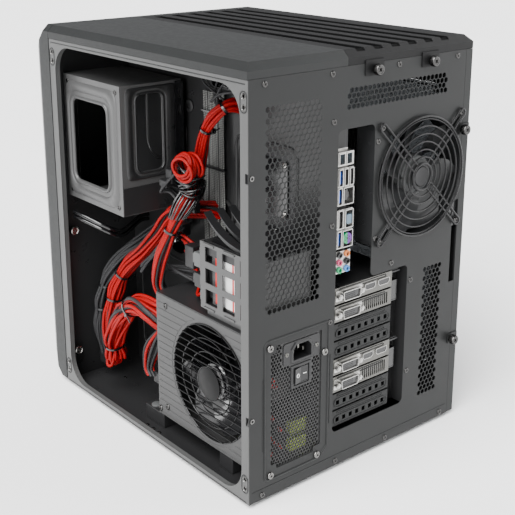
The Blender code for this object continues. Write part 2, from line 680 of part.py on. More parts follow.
# ---------------------------------------------------------------- power supply
def build_power_supply():
    shell = block("psu_shell", PSU_LOW, PSU_HIGH, "psu_grey")
    inside_low = [c + PSU_WALL for c in PSU_LOW]
    inside_high = [c - PSU_WALL for c in PSU_HIGH]
    cut_box(shell, "cut_psu_inside", inside_low, inside_high)
    cut_prism(shell, "cut_psu_fan", "x", circle(*PSU_FAN, PSU_FAN_BORE), 0.1300, 0.1450)
    x, z = INLET
    cut_box(shell, "cut_psu_inlet", (x - 0.0145, 0.2000, z - 0.0106), (x + 0.0145, 0.2100, z + 0.0106))
    cut_box(shell, "cut_psu_switch", (SWITCH[0] - 0.0112, 0.2000, SWITCH[1] - 0.0088),
            (SWITCH[0] + 0.0112, 0.2100, SWITCH[1] + 0.0088))

    fan_rotor("psu_fan_rotor", "x", *PSU_FAN, 0.1130, 0.0190, 0.022, 0.0610, 9, "plastic_black")
    round_guard("psu_fan_guard", "x", *PSU_FAN, PSU_HIGH[0] + GAP, PSU_HIGH[0] + 0.0018,
                (0.0190, 0.0340, 0.0490, 0.0655), 0.019, "wire_black")

    front = PSU_HIGH[1] + 0.0012
    inlet = Solid("y")
    flange = rounded_rectangle(x - 0.0250, z - 0.0123, x + 0.0250, z + 0.0123, 0.003, 2)
    body = rounded_rectangle(x - 0.0138, z - 0.0100, x + 0.0138, z + 0.0100, 0.002, 2)
    cavity = [(x - 0.0120, z - 0.0080), (x + 0.0120, z - 0.0080), (x + 0.0120, z + 0.0030),
              (x + 0.0080, z + 0.0080), (x - 0.0080, z + 0.0080), (x - 0.0120, z + 0.0030)]
    pins = [rectangle(x + dx - 0.0010, z + dz - 0.0020, x + dx + 0.0010, z + dz + 0.0020)
            for dx, dz in ((-0.0070, -0.0020), (0.0070, -0.0020), (0.0, 0.0020))]
    floor = front - 0.0135
    rings = [inlet.ring(loop, w) for loop, w in ((flange, front), (flange, PSU_HIGH[1] + GAP),
                                                 (body, PSU_HIGH[1] + GAP), (body, front - 0.0160),
                                                 (cavity, front), (cavity, floor))]
    inlet.wall(rings[0], rings[1])
    inlet.wall(rings[2], rings[3])
    inlet.wall(rings[4], rings[5])
    inlet.cap(rings[0], rings[4])
    inlet.cap(rings[1], rings[2])
    inlet.cap(rings[3])
    pin_feet = [inlet.ring(pin, floor) for pin in pins]
    inlet.cap(rings[5], *pin_feet)
    for pin, foot in zip(pins, pin_feet):
        tip = inlet.ring(pin, front - 0.0060)
        inlet.wall(foot, tip)
        inlet.cap(tip)
    add("psu_inlet", inlet, "plastic_black")

    x, z = SWITCH
    axis = (x, 0.2042, z)
    rocker = Solid("z")
    rocker.prism([(x - 0.0095, 0.2025), (x + 0.0095, 0.2025), (x + 0.0098, 0.2072), (x, 0.2058),
                  (x - 0.0098, 0.2072)], z - 0.0084, z + 0.0084)
    tilt = Matrix.Rotation(math.radians(SWITCH_TILT), 4, "Z")
    centre = Matrix.Translation(Vector(axis))
    bmesh.ops.transform(rocker.mesh, matrix=centre @ tilt @ centre.inverted(), verts=rocker.mesh.verts)
    add("power_switch", rocker, "plastic_black", pivot=axis)


# ---------------------------------------------------------------- drives
def build_drives():
    cage = block("drive_cage", CAGE_LOW, CAGE_HIGH, "psu_grey")
    wall = 0.0012
    cut_box(cage, "cut_cage_inside", (CAGE_LOW[0] + wall, CAGE_LOW[1] - 0.002, CAGE_LOW[2] + wall),
            (CAGE_HIGH[0] - wall, CAGE_HIGH[1] - wall, CAGE_HIGH[2] - wall))
    cut_prism(cage, "cut_cage_side_window", "x",
              rounded_rectangle(-0.1380, 0.2760, -0.0630, 0.3740, 0.009, 3), 0.1350, 0.1500)
    cut_prism(cage, "cut_cage_rear_window", "y", rounded_rectangle(0.0870, 0.3000, 0.1220, 0.3890, 0.007, 3),
              -0.0400, -0.0300)

    ssd = block("ssd_cage", SSD_LOW, SSD_HIGH, "psu_grey")
    cut_box(ssd, "cut_ssd_inside", (SSD_LOW[0] + wall, SSD_LOW[1] + wall, SSD_LOW[2] + wall),
            (SSD_HIGH[0] - wall, SSD_HIGH[1] - wall, SSD_HIGH[2] + 0.002))
    for row in range(3):
        for column in range(3):
            y, z = SSD_LOW[1] + 0.0085 + 0.0290 * column, SSD_LOW[2] + 0.0060 + 0.0235 * row
            cut_box(ssd, f"cut_ssd_window_{row}{column}", (0.1300, y, z), (0.1450, y + 0.0200, z + 0.0165))
    for index in range(4):
        x0 = SSD_LOW[0] + wall + 0.0016 + SSD_PITCH * index
        tray = Solid("x")
        y0, y1 = SSD_LOW[1] + wall + 0.0010, SSD_HIGH[1] - wall - 0.0010
        z0, z1 = SSD_LOW[2] + wall + 0.0006, SSD_HIGH[2]
        tray.prism([(y0, z0), (y1, z0), (y1, z1 - 0.003), (y1 - 0.006, z1 + 0.003), (y0 + 0.045, z1 + 0.004),
                    (y0 + 0.028, z1 + 0.010), (y0 + 0.012, z1 + 0.024), (y0, z1 + 0.030), (y0 - 0.002, z1 + 0.030),
                    (y0 - 0.002, z1 + 0.006), (y0, z1 + 0.004)], x0, x0 + SSD_TRAY)
        add(f"ssd_tray_{index + 1}", tray, "plastic_black", pivot=(x0 + SSD_TRAY / 2, y0, z0))


# ---------------------------------------------------------------- cables held inside
ATX_ROUTE = [(0.0515, 0.0750, 0.3800), (0.0660, 0.0780, 0.3880), (0.0800, 0.0760, 0.3880),
             (0.0890, 0.0660, 0.3770), (0.0900, 0.0510, 0.3570), (0.0860, 0.0380, 0.3300),
             (0.0850, 0.0300, 0.3060), (0.0920, 0.0300, 0.2890), (0.1040, 0.0300, 0.2740),
             (0.1140, 0.0260, 0.2560), (0.1200, 0.0190, 0.2350), (0.1230, 0.0100, 0.2130),
             (0.1230, 0.0030, 0.1920), (0.1210, -0.0010, 0.1750), (0.1170, 0.0040, 0.1600),
             (0.1160, 0.0100, 0.1580), (0.1160, 0.0180, 0.1580)]
SPARE_LOOP_ROUTE = [(0.1040, 0.0200, 0.3180), (0.1080, 0.0240, 0.3310), (0.1110, 0.0400, 0.3400),
                    (0.1110, 0.0570, 0.3380), (0.1090, 0.0650, 0.3260), (0.1060, 0.0580, 0.3140),
                    (0.1040, 0.0440, 0.3090)]
CHARCOAL_ROUTE = [(0.0660, -0.0220, 0.2430), (0.0680, -0.0520, 0.2220), (0.0780, -0.0860, 0.1980),
                  (0.0940, -0.1160, 0.1720), (0.1080, -0.1340, 0.1400), (0.1140, -0.1400, 0.1050),
                  (0.1140, -0.1430, 0.0700), (0.1080, -0.1430, 0.0380)]
RED_ROUTE = [(0.0880, -0.0120, 0.2520), (0.0940, -0.0360, 0.2220), (0.1000, -0.0610, 0.1940),
             (0.1060, -0.0890, 0.1680), (0.1120, -0.1070, 0.1380), (0.1160, -0.1130, 0.1080),
             (0.1160, -0.1180, 0.0780), (0.1120, -0.1190, 0.0480)]
PSU_ROUTE = [(0.1210, 0.0172, 0.1350), (0.1210, 0.0080, 0.1350), (0.1265, -0.0080, 0.1405),
             (0.1295, -0.0330, 0.1410), (0.1305, -0.0580, 0.1260), (0.1305, -0.0780, 0.1020),
             (0.1290, -0.0910, 0.0760), (0.1240, -0.0960, 0.0520)]
LEADS_ROUTE = [(0.1420, -0.1500, 0.2270), (0.1360, -0.1300, 0.2230), (0.1270, -0.1120, 0.2170),
               (0.1140, -0.1060, 0.2090), (0.0980, -0.1120, 0.2030), (0.0800, -0.1200, 0.2060),
               (0.0620, -0.1250, 0.2120), (0.0507, -0.1250, 0.2120)]


def build_cables():
    tube("atx_cable", ATX_ROUTE, 0.0085, "cable_red", 2)
    tube("spare_loop_cable", SPARE_LOOP_ROUTE, 0.0060, "cable_red", 3)
    tube("charcoal_loom", CHARCOAL_ROUTE, 0.0100, "cable_charcoal", 3)
    tube("red_loom", RED_ROUTE, 0.0105, "cable_red", 3)
    tube("psu_loom", PSU_ROUTE, 0.0120, "cable_red", 3)
    tube("front_panel_leads", LEADS_ROUTE, 0.0055, "cable_black", 3)
    sata = Solid("x")
    sata.prism(rounded_rectangle(0.0020, 0.2000, 0.0400, 0.3930, 0.003, 2), 0.0540, 0.0575)
    add("sata_cables", sata, "cable_grey")


# ---------------------------------------------------------------- assembly
for old in list(bpy.data.objects):
    bpy.data.objects.remove(old, do_unlink=True)

ASSEMBLY = bpy.data.objects.new("assembly", None)
bpy.context.scene.collection.objects.link(ASSEMBLY)
ASSEMBLY.location = (0.0, -REAR_REACH / 2, 0.0)

build_chassis()
build_side_panel()
build_top()
build_front()
build_fans()
build_board()
build_power_supply()
build_drives()
build_cables()
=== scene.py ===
"""Looks of a dual-chamber desktop computer tower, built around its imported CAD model.

Metres, +Z up. The rear face looks along +Y, and the open drive chamber along +X.
"""
import math
import random

import bmesh
import bpy
from mathutils import Matrix, Vector
from mathutils.geometry import delaunay_2d_cdt


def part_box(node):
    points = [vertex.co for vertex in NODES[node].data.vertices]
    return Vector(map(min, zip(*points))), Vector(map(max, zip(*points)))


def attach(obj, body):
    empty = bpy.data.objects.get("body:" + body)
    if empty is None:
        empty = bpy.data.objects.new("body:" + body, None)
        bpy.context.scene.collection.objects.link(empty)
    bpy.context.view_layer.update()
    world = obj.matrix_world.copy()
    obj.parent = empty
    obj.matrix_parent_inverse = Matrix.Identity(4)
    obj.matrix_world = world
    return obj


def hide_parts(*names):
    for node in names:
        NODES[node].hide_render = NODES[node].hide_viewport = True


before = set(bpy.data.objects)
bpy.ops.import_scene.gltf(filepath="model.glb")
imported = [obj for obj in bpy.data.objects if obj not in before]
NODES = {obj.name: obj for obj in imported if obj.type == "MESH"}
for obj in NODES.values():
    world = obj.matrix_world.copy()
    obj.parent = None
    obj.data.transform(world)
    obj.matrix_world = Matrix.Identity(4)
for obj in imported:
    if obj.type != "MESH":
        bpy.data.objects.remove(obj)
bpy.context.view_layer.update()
BOX = {name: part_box(name) for name in NODES}

# ---------------------------------------------------------------- places taken from the frame
STEEL = 0.001
REAR_LOW, REAR_HIGH = BOX["rear_panel"]
REAR_Y = REAR_HIGH.y                            # outer face of the rear panel
FRONT_WALL_Y = BOX["front_plate"][1].y          # inner face of the front wall
TRAY_X = BOX["motherboard_tray"][1].x           # tray face towards the open side
CAGE_LOW, CAGE_HIGH = BOX["drive_cage"]
SSD_LOW, SSD_HIGH = BOX["ssd_cage"]
PSU_LOW, PSU_HIGH = BOX["psu_shell"]
BRACKET_Y = BOX["slot_covers_1"][1].y           # outer face of the expansion brackets
BRACKET_X = (-0.048, BOX["slot_covers_1"][1].x)
SLOT_PITCH = 0.02032
SLOT_3_Z = 0.16
CARD_SLOTS = (1, 5)                             # the upper slot of each graphics card
REAR_FAN = (BOX["rear_fan_rotor"][0] + BOX["rear_fan_rotor"][1]) / 2
PSU_FAN = (BOX["psu_fan_rotor"][0] + BOX["psu_fan_rotor"][1]) / 2
INLET = (BOX["psu_inlet"][0] + BOX["psu_inlet"][1]) / 2
SWITCH = (BOX["power_switch"][0] + BOX["power_switch"][1]) / 2
ROUTE_Y = -0.005                                # the CAD's cable routes lie this far along Y


# ---------------------------------------------------------------- outlines
def circle(cu, cv, radius, segments=32):
    step = math.tau / segments
    return [(cu + radius * math.cos(step * i), cv + radius * math.sin(step * i)) for i in range(segments)]


def rectangle(u0, v0, u1, v1):
    return [(u0, v0), (u1, v0), (u1, v1), (u0, v1)]


def rounded(points, radius, segments=5):
    """A polygon with each corner replaced by an arc."""
    outline = []
    count = len(points)
    for i in range(count):
        corner = Vector(points[i])
        before = (Vector(points[i - 1]) - corner).normalized()
        after = (Vector(points[(i + 1) % count]) - corner).normalized()
        half = before.angle(after) / 2
        centre = corner + (before + after).normalized() * (radius / math.sin(half))
        start = corner + before * (radius / math.tan(half)) - centre
        end = corner + after * (radius / math.tan(half)) - centre
        sweep = start.angle_signed(end)
        for k in range(segments + 1):
            turn = -sweep * k / segments
            cos, sin = math.cos(turn), math.sin(turn)
            outline.append((centre.x + start.x * cos - start.y * sin,
                            centre.y + start.x * sin + start.y * cos))
    return outline


def rounded_rectangle(u0, v0, u1, v1, radius, segments=5):
    return rounded(rectangle(u0, v0, u1, v1), radius, segments)


def stadium(a, b, radius, segments=8):
    """Two half circles round points a and b, joined by straight sides."""
    a, b = Vector(a), Vector(b)
    along = (b - a).normalized()
    across = Vector((-along.y, along.x))
    outline = []
    for centre, sign in ((b, 1), (a, -1)):
        for k in range(segments + 1):
            turn = -math.pi / 2 + math.pi * k / segments
            outline.append(tuple(centre + (along * math.cos(turn) + across * math.sin(turn)) * radius * sign))
    return outline


def area(loop):
    total = 0.0
    for i, (u, v) in enumerate(loop):
        u2, v2 = loop[(i + 1) % len(loop)]
        total += u * v2 - u2 * v
    return total / 2


def offset(loop, distance):
    """The loop moved outwards by a distance, or inwards where it is negative."""
    sign = 1.0 if area(loop) > 0 else -1.0
    moved = []
    count = len(loop)
    for i in range(count):
        here = Vector(loop[i])
        a = (here - Vector(loop[i - 1])).normalized()
        b = (Vector(loop[(i + 1) % count]) - here).normalized()
        normal = (Vector((a.y + b.y, -a.x - b.x)) * sign).normalized()
        edge_normal = Vector((a.y, -a.x)) * sign
        moved.append(tuple(here + normal * (distance / max(normal.dot(edge_normal), 0.3))))
    return moved


# ---------------------------------------------------------------- mesh code
INSIDE_WITH_HOLES = 2                            # the triangulation's output type


class Form:
    """A mesh under construction. Its loops lie in (u, v) at a height w along the plane's axis."""

    AXES = {"x": (2, 0, 1), "y": (0, 2, 1), "z": (0, 1, 2)}

    def __init__(self, plane="z"):
        self.verts, self.faces, self.marks = [], [], []
        self.order = self.AXES[plane]
        self.mark = 0

    def paint(self, mark):
        """Faces made from here on take this material number."""
        self.mark = mark

    def vert(self, point):
        self.verts.append(tuple(point))
        return len(self.verts) - 1

    def place(self, loop, w):
        """The loop's points in space."""
        return [[(u, v, w)[i] for i in self.order] for u, v in loop]

    def ring(self, loop, w):
        """Vertices along a loop."""
        return [self.vert(point) for point in self.place(loop, w)]

    def face(self, indices):
        self.faces.append(tuple(indices))
        self.marks.append(self.mark)

    def wall(self, lower, upper, closed=True):
        """Faces between two rings with as many vertices as each other."""
        count = len(lower)
        for i in range(count if closed else count - 1):
            j = (i + 1) % count
            self.face((lower[i], lower[j], upper[j], upper[i]))

    def walls(self, rings, closed=True):
        """Walls from each ring to the next."""
        for lower, upper in zip(rings, rings[1:]):
            self.wall(lower, upper, closed)

    def hull(self, rings):
        """Walls from each ring to the next, with the first and the last ring covered."""
        self.walls(rings)
        self.fill(rings[0])
        self.fill(rings[-1])

    def fill(self, *rings):
        """Cover the flat area between an outer ring and the rings inside it."""
        if len(rings) == 1:
            self.face(rings[0])
            return
        flat = [i for ring in rings for i in ring]
        u, v = self.order.index(0), self.order.index(1)
        corners = [Vector((self.verts[i][u], self.verts[i][v])) for i in flat]
        regions = []
        start = 0
        for ring in rings:
            regions.append(list(range(start, start + len(ring))))
            start += len(ring)
        result = delaunay_2d_cdt(corners, [], regions, INSIDE_WITH_HOLES, 1e-7)
        for triangle in result[2]:
            self.face([flat[result[3][k][0]] for k in triangle])

    def prism(self, loop, w0, w1, holes=()):
        """A loop drawn out from w0 to w1, with holes right through it."""
        lower = [self.ring(l, w0) for l in (loop, *holes)]
        upper = [self.ring(l, w1) for l in (loop, *holes)]
        for low, high in zip(lower, upper):
            self.wall(low, high)
        self.fill(*lower)
        self.fill(*upper)

    def slab(self, low, high):
        """A box between two corners."""
        order = self.order
        self.order = self.AXES["z"]
        self.prism(rectangle(low[0], low[1], high[0], high[1]), low[2], high[2])
        self.order = order

    def band(self, outer, inner, w0, w1):
        """A flat frame between two loops with as many points as each other."""
        self.hoop([(outer, w0), (outer, w1), (inner, w1), (inner, w0)])

    def hoop(self, levels):
        """A closed section carried round: (loop, w) levels whose last joins the first."""
        rings = [self.ring(loop, w) for loop, w in levels]
        self.walls([*rings, rings[0]])

    def turned(self, cu, cv, profile, segments=32):
        """A profile of (radius, w) turned round (cu, cv)."""
        self.hull([self.ring(circle(cu, cv, radius, segments), w) for radius, w in profile])

    def tube(self, points, radius, sides=8, closed=False):
        """A round rod along points, with its ends closed unless the points go all the way round."""
        points = [Vector(p) for p in points]
        count = len(points)
        tangents = []
        for i in range(count):
            before = points[i - 1] if closed or i else points[i]
            after = points[(i + 1) % count] if closed or i < count - 1 else points[i]
            tangents.append((after - before).normalized())
        normal = tangents[0].orthogonal().normalized()
        rings = []
        for point, tangent in zip(points, tangents):
            normal = (normal - tangent * normal.dot(tangent)).normalized()
            across = tangent.cross(normal)
            ring = []
            for k in range(sides):
                a = math.tau * k / sides
                ring.append(self.vert(point + (normal * math.cos(a) + across * math.sin(a)) * radius))
            rings.append(ring)
        if closed:
            self.walls(rings)
            shift = self.nearest_turn(rings[-1][0], rings[0])
            self.wall(rings[-1], rings[0][shift:] + rings[0][:shift])
        else:
            self.hull(rings)

    def nearest_turn(self, index, ring):
        """Which vertex of a ring lies nearest to the one with this index."""
        here = Vector(self.verts[index])
        return min(range(len(ring)), key=lambda k: (Vector(self.verts[ring[k]]) - here).length)

    def loop_wire(self, loop, w, radius, sides=6):
        """A closed wire along a loop."""
        self.tube(self.place(loop, w), radius, sides, closed=True)

    def sheet(self, loops, w0, w1, vents=None):
        """A sheet with its outline, the loops cut out of it, and the vents that a function makes."""
        edges = [(self.ring(loop, w0), self.ring(loop, w1)) for loop in loops]
        for low, high in edges:
            self.wall(low, high)
        if vents:
            edges += vents(self)
        self.fill(*(low for low, _ in edges))
        self.fill(*(high for _, high in edges))


def honeycomb(form, centres, pitch, hole, w0, w1):
    """Hexagonal cells with a hole in each. Returns the edges round them, as vertex rings at w0 and w1."""
    corner_radius = pitch / math.sqrt(3)
    angles = [math.radians(30 + 60 * k) for k in range(6)]
    shared = {}
    uses = {}
    u0, v0 = centres[0]

    def corner(u, v):
        key = (round((u - u0) * 2 / pitch), round((v - v0) * 2 / corner_radius))
        if key not in shared:
            shared[key] = (form.ring([(u, v)], w0)[0], form.ring([(u, v)], w1)[0])
        return key

    for cu, cv in centres:
        outer = [corner(cu + corner_radius * math.cos(a), cv + corner_radius * math.sin(a)) for a in angles]
        inner = [(cu + hole * math.cos(a), cv + hole * math.sin(a)) for a in angles]
        low, high = form.ring(inner, w0), form.ring(inner, w1)
        form.wall(low, high)
        form.wall([shared[k][0] for k in outer], low)
        form.wall([shared[k][1] for k in outer], high)
        for i in range(6):
            a, b = outer[i], outer[(i + 1) % 6]
            if (b, a) in uses:
                uses.pop((b, a))
            else:
                uses[(a, b)] = True
    following = {a: b for a, b in uses}
    edges = []
    while following:
        start = next(iter(following))
        keys = [start]
        here = following.pop(start)
        while here != start:
            keys.append(here)
            here = following.pop(here)
        edges.append(([shared[k][0] for k in keys], [shared[k][1] for k in keys]))
    return edges


def lattice(u0, v0, u1, v1, pitch, inside=None):
    """Centres of a pointy-topped hexagonal lattice whose cells lie in a box."""
    row_step = pitch * math.sqrt(3) / 2
    rows = int((v1 - v0) / row_step)
    found = []
    for row in range(rows):
        v = v0 + row_step * (row + 0.5)
        u = u0 + pitch * (0.5 if row % 2 == 0 else 1.0)
        while u + pitch / 2 <= u1 + 1e-6:
            if inside is None or inside(u, v):
                found.append((u, v))
            u += pitch
    return found


def make(name, form, materials, body="chassis", stands_for=(), bevel=0.0, smooth=None):
    """Turn a form into a piece that rides on a body."""
    mesh = bpy.data.meshes.new(name)
    mesh.from_pydata(form.verts, [], form.faces)
    for entry in materials if isinstance(materials, (list, tuple)) else [materials]:
        mesh.materials.append(entry)
    mesh.polygons.foreach_set("material_index", form.marks)
    work = bmesh.new()
    work.from_mesh(mesh)
    bmesh.ops.recalc_face_normals(work, faces=work.faces)
    work.to_mesh(mesh)
    work.free()
    if smooth is not None:
        mesh.shade_smooth()
        mesh.set_sharp_from_angle(angle=math.radians(smooth))
    piece = bpy.data.objects.new(name, mesh)
    bpy.context.scene.collection.objects.link(piece)
    if bevel:
        soften(piece, bevel)
    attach(piece, body)
    if stands_for:
        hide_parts(*stands_for)
    return piece


def soften(piece, width, segments=2):
    """Round a piece's edges a little."""
    modifier = piece.modifiers.new("soft_edges", "BEVEL")
    modifier.width = width
    modifier.segments = segments
    modifier.limit_method = "ANGLE"
    modifier.angle_limit = math.radians(40)
    modifier.use_clamp_overlap = True
    modifier.harden_normals = False


# ---------------------------------------------------------------- materials
class Shader:
    """A node material round one Principled BSDF."""

    def __init__(self, name, colour, roughness, metallic=0.0):
        self.material = bpy.data.materials.new(name)
        self.material.use_nodes = True
        self.nodes = self.material.node_tree.nodes
        self.links = self.material.node_tree.links
        self.bsdf = self.nodes["Principled BSDF"]
        self.bsdf.inputs["Base Color"].default_value = (*colour, 1.0)
        self.bsdf.inputs["Roughness"].default_value = roughness
        self.bsdf.inputs["Metallic"].default_value = metallic
        self.material.diffuse_color = (*colour, 1.0)
        self.colour = colour
        self.roughness = roughness
        self.place = self.nodes.new("ShaderNodeTexCoord").outputs["Object"]

    def node(self, kind, **inputs):
        made = self.nodes.new(kind)
        for key, value in inputs.items():
            socket = made.inputs[key.replace("_", " ")]
            if isinstance(value, bpy.types.NodeSocket):
                self.links.new(value, socket)
            else:
                socket.default_value = value
        return made

    def stretched(self, scale):
        """The place, scaled along each axis."""
        return self.node("ShaderNodeMapping", Vector=self.place, Scale=scale).outputs["Vector"]

    def noise(self, scale, detail=3.0, roughness=0.55, vector=None):
        made = self.node("ShaderNodeTexNoise", Vector=vector or self.place, Scale=scale, Detail=detail,
                         Roughness=roughness)
        return made.outputs["Fac"]

    def ramp(self, fac, low, high):
        """A number from 0 to 1 as a number from low to high."""
        made = self.node("ShaderNodeMapRange", Value=fac, From_Min=0.3, From_Max=0.7, To_Min=low, To_Max=high)
        return made.outputs["Result"]

    def tint(self, fac, amount, other=None):
        """Vary the base colour by a share of itself, or towards another colour."""
        mix = self.nodes.new("ShaderNodeMix")
        mix.data_type = "RGBA"
        low = other or tuple(c * (1 - amount) for c in self.colour)
        high = self.colour if other else tuple(min(1.0, c * (1 + amount)) for c in self.colour)
        mix.inputs[6].default_value = (*low, 1.0)
        mix.inputs[7].default_value = (*high, 1.0)
        self.links.new(self.ramp(fac, 0.0, 1.0), mix.inputs[0])
        self.links.new(mix.outputs[2], self.bsdf.inputs["Base Color"])
        return self

    def rough(self, fac, spread):
        self.links.new(self.ramp(fac, self.roughness - spread, self.roughness + spread),
                       self.bsdf.inputs["Roughness"])
        return self

    def bump(self, height, distance, strength=1.0):
        made = self.node("ShaderNodeBump", Height=height, Distance=distance, Strength=strength)
        self.links.new(made.outputs["Normal"], self.bsdf.inputs["Normal"])
        return self

    def set(self, **values):
        """Constants on the shader's own sockets."""
        for key, value in values.items():
            self.bsdf.inputs[key.replace("_", " ")].default_value = value
        return self


def powder_coat(name, colour, roughness, metallic=0.0, specular=0.3, grain=1400.0, depth=0.00005):
    """Paint with a fine orange peel and slight wear in its gloss."""
    shader = Shader(name, colour, roughness, metallic)
    shader.tint(shader.noise(9.0, 4.0), 0.035)
    shader.rough(shader.noise(45.0, 4.0), 0.03)
    shader.bump(shader.noise(grain, 2.0), depth, 0.5)
    shader.set(Specular_IOR_Level=specular)
    return shader.material


def moulded(name, colour, roughness, grain=2200.0, depth=0.00004, coat=0.0, specular=0.35):
    """Moulded plastic with a fine spark-eroded texture."""
    shader = Shader(name, colour, roughness)
    shader.tint(shader.noise(30.0, 3.0), 0.04)
    shader.rough(shader.noise(180.0, 3.0), 0.03)
    shader.bump(shader.noise(grain, 1.5), depth, 0.5)
    shader.set(Specular_IOR_Level=specular)
    if coat:
        shader.set(Coat_Weight=coat, Coat_Roughness=0.15)
    return shader.material


def worked_metal(name, colour, roughness, streaks=(1.0, 1.0, 1.0)):
    """Bare or plated metal with fine streaks from its working."""
    shader = Shader(name, colour, roughness, 1.0)
    fine = shader.noise(900.0, 4.0, 0.6, shader.stretched(streaks))
    shader.tint(fine, 0.1)
    shader.rough(shader.noise(120.0, 4.0), 0.08)
    shader.bump(fine, 0.00004, 0.5)
    return shader.material


def sleeve(name, colour, shade):
    """Woven polyester sleeve: two crossed sets of fine threads."""
    shader = Shader(name, colour, 0.5)
    shader.set(Specular_IOR_Level=0.16)
    threads = []
    for turn in (0.65, -0.65):
        spun = shader.node("ShaderNodeMapping", Vector=shader.place, Rotation=(turn, turn, 0.0))
        wave = shader.node("ShaderNodeTexWave", Vector=spun.outputs["Vector"], Scale=340.0, Distortion=1.5)
        threads.append(wave.outputs["Fac"])
    weave = shader.nodes.new("ShaderNodeMath")
    weave.operation = "MAXIMUM"
    shader.links.new(threads[0], weave.inputs[0])
    shader.links.new(threads[1], weave.inputs[1])
    shader.tint(weave.outputs[0], 0.0, other=shade)
    shader.bump(weave.outputs[0], 0.00012, 0.5)
    return shader.material


def flat_weave(name, colour, shade):
    """The flat data cables' woven jacket: light ribs crossed by dark threads."""
    shader = Shader(name, colour, 0.7)
    shader.set(Sheen_Weight=0.2, Sheen_Roughness=0.5)
    across = shader.node("ShaderNodeTexWave", Vector=shader.stretched((0.0, 0.0, 1.0)), Scale=155.0)
    across.bands_direction = "Z"
    along = shader.node("ShaderNodeTexWave", Vector=shader.stretched((0.0, 1.0, 0.0)), Scale=115.0)
    along.bands_direction = "Y"
    weave = shader.nodes.new("ShaderNodeMath")
    weave.operation = "MULTIPLY"
    shader.links.new(across.outputs["Fac"], weave.inputs[0])
    shader.links.new(along.outputs["Fac"], weave.inputs[1])
    shader.tint(weave.outputs[0], 0.0, other=shade)
    shader.bump(weave.outputs[0], 0.0006, 0.8)
    return shader.material


def window_pane(name):
    shader = Shader(name, (0.016, 0.017, 0.018), 0.04)
    shader.rough(shader.noise(60.0, 3.0), 0.015)
    shader.set(Transmission_Weight=0.94, IOR=1.45)
    return shader.material


def circuit_board(name, colour):
    """A lacquered board with faint tracks."""
    shader = Shader(name, colour, 0.42)
    tracks = shader.node("ShaderNodeTexBrick", Vector=shader.place, Scale=90.0)
    tracks.inputs["Mortar Size"].default_value = 0.03
    shader.tint(tracks.outputs["Fac"], 0.35)
    shader.bump(tracks.outputs["Fac"], 0.00006, 0.5)
    return shader.material


STEEL_GREY = powder_coat("steel_grey", (0.014, 0.0145, 0.0145), 0.42, specular=0.17)
# Painted light: the side frame is the same steel as the rest of the chassis, made lighter here because the
# light from +X falls on that side.
LIT_FRAME_GREY = powder_coat("lit_frame_grey", (0.052, 0.0525, 0.052), 0.4)
STEEL_BLACK = powder_coat("steel_black", (0.013, 0.013, 0.0134), 0.3)
CAGE_GREY = powder_coat("cage_grey", (0.06, 0.06, 0.06), 0.36, 0.25)
PSU_GREY = powder_coat("psu_grey_coat", (0.037, 0.037, 0.037), 0.46, grain=1900.0, depth=0.00008)
TOP_BLACK = moulded("top_black", (0.0105, 0.0112, 0.0112), 0.46, specular=0.22)
RIB_BLACK = moulded("rib_black", (0.005, 0.005, 0.0052), 0.52, specular=0.16)
# Painted shade: near-black with little gloss for the walls and mesh of the top's grooves, standing in for the
# shadow in them; also the grommet's membrane.
SHADE_AND_MEMBRANE_BLACK = moulded("shade_and_membrane_black", (0.0022, 0.0022, 0.0023), 0.8, specular=0.08)
PLASTIC = moulded("black_plastic", (0.0075, 0.0075, 0.008), 0.36)
GLOSS = moulded("gloss_black", (0.0035, 0.0035, 0.004), 0.16, grain=600.0, depth=0.00002, coat=0.5)
FAN_PLASTIC = moulded("fan_plastic", (0.015, 0.0154, 0.016), 0.3, coat=0.3)
FAN_GREY = moulded("fan_hub", (0.055, 0.057, 0.057), 0.4)
WIRE = powder_coat("guard_wire", (0.016, 0.016, 0.0165), 0.24, 0.6)
GRILL_WIRE = powder_coat("grill_wire", (0.006, 0.006, 0.0062), 0.22, 0.5)
HUB_BLACK = moulded("hub_black", (0.003, 0.003, 0.0032), 0.42, specular=0.14)
NICKEL = worked_metal("nickel", (0.34, 0.33, 0.315), 0.22)
SCREW_STEEL = worked_metal("screw_steel", (0.15, 0.147, 0.142), 0.24)
DARK_NICKEL = worked_metal("dark_nickel", (0.06, 0.059, 0.058), 0.24)
BRACKET = worked_metal("bracket_plate", (0.125, 0.123, 0.115), 0.34, (1.0, 0.15, 1.0))
SHELL = worked_metal("port_shells", (0.44, 0.435, 0.42), 0.34)
FIN = worked_metal("cooler_fins", (0.24, 0.24, 0.24), 0.32, (1.0, 1.0, 0.1))
COPPER = worked_metal("copper", (0.5, 0.2, 0.11), 0.26)
GOLD = worked_metal("gold_contacts", (0.55, 0.36, 0.12), 0.3)
RUBBER = moulded("rubber_black", (0.0075, 0.0075, 0.0075), 0.72, grain=900.0, depth=0.0001)
BOARD = circuit_board("board_black", (0.015, 0.015, 0.0165))
GREEN_BOARD = circuit_board("board_green", (0.4, 0.52, 0.05))
PANE = window_pane("pane")
RED = sleeve("sleeve_red", (0.245, 0.001, 0.0014), (0.1, 0.0005, 0.0006))
CHARCOAL = sleeve("sleeve_charcoal", (0.024, 0.024, 0.025), (0.005, 0.005, 0.0055))
RIBBON = flat_weave("ribbon_grey", (0.2, 0.205, 0.19), (0.015, 0.015, 0.0145))
LABEL = moulded("label_white", (0.7, 0.7, 0.69), 0.55, grain=300.0)
LABEL_RED = moulded("label_red", (0.45, 0.01, 0.008), 0.5, grain=300.0)
BLUE = moulded("port_blue", (0.006, 0.07, 0.4), 0.4)
SKY = moulded("port_grey_blue", (0.1, 0.15, 0.2), 0.35)
PURPLE = moulded("port_purple", (0.1, 0.02, 0.2), 0.42)
GREEN = moulded("port_green", (0.015, 0.22, 0.09), 0.42)
ORANGE = moulded("jack_orange", (0.42, 0.13, 0.035), 0.42)
PINK = moulded("jack_pink", (0.42, 0.06, 0.13), 0.42)
LIGHT_BLUE = moulded("jack_blue", (0.045, 0.16, 0.38), 0.42)


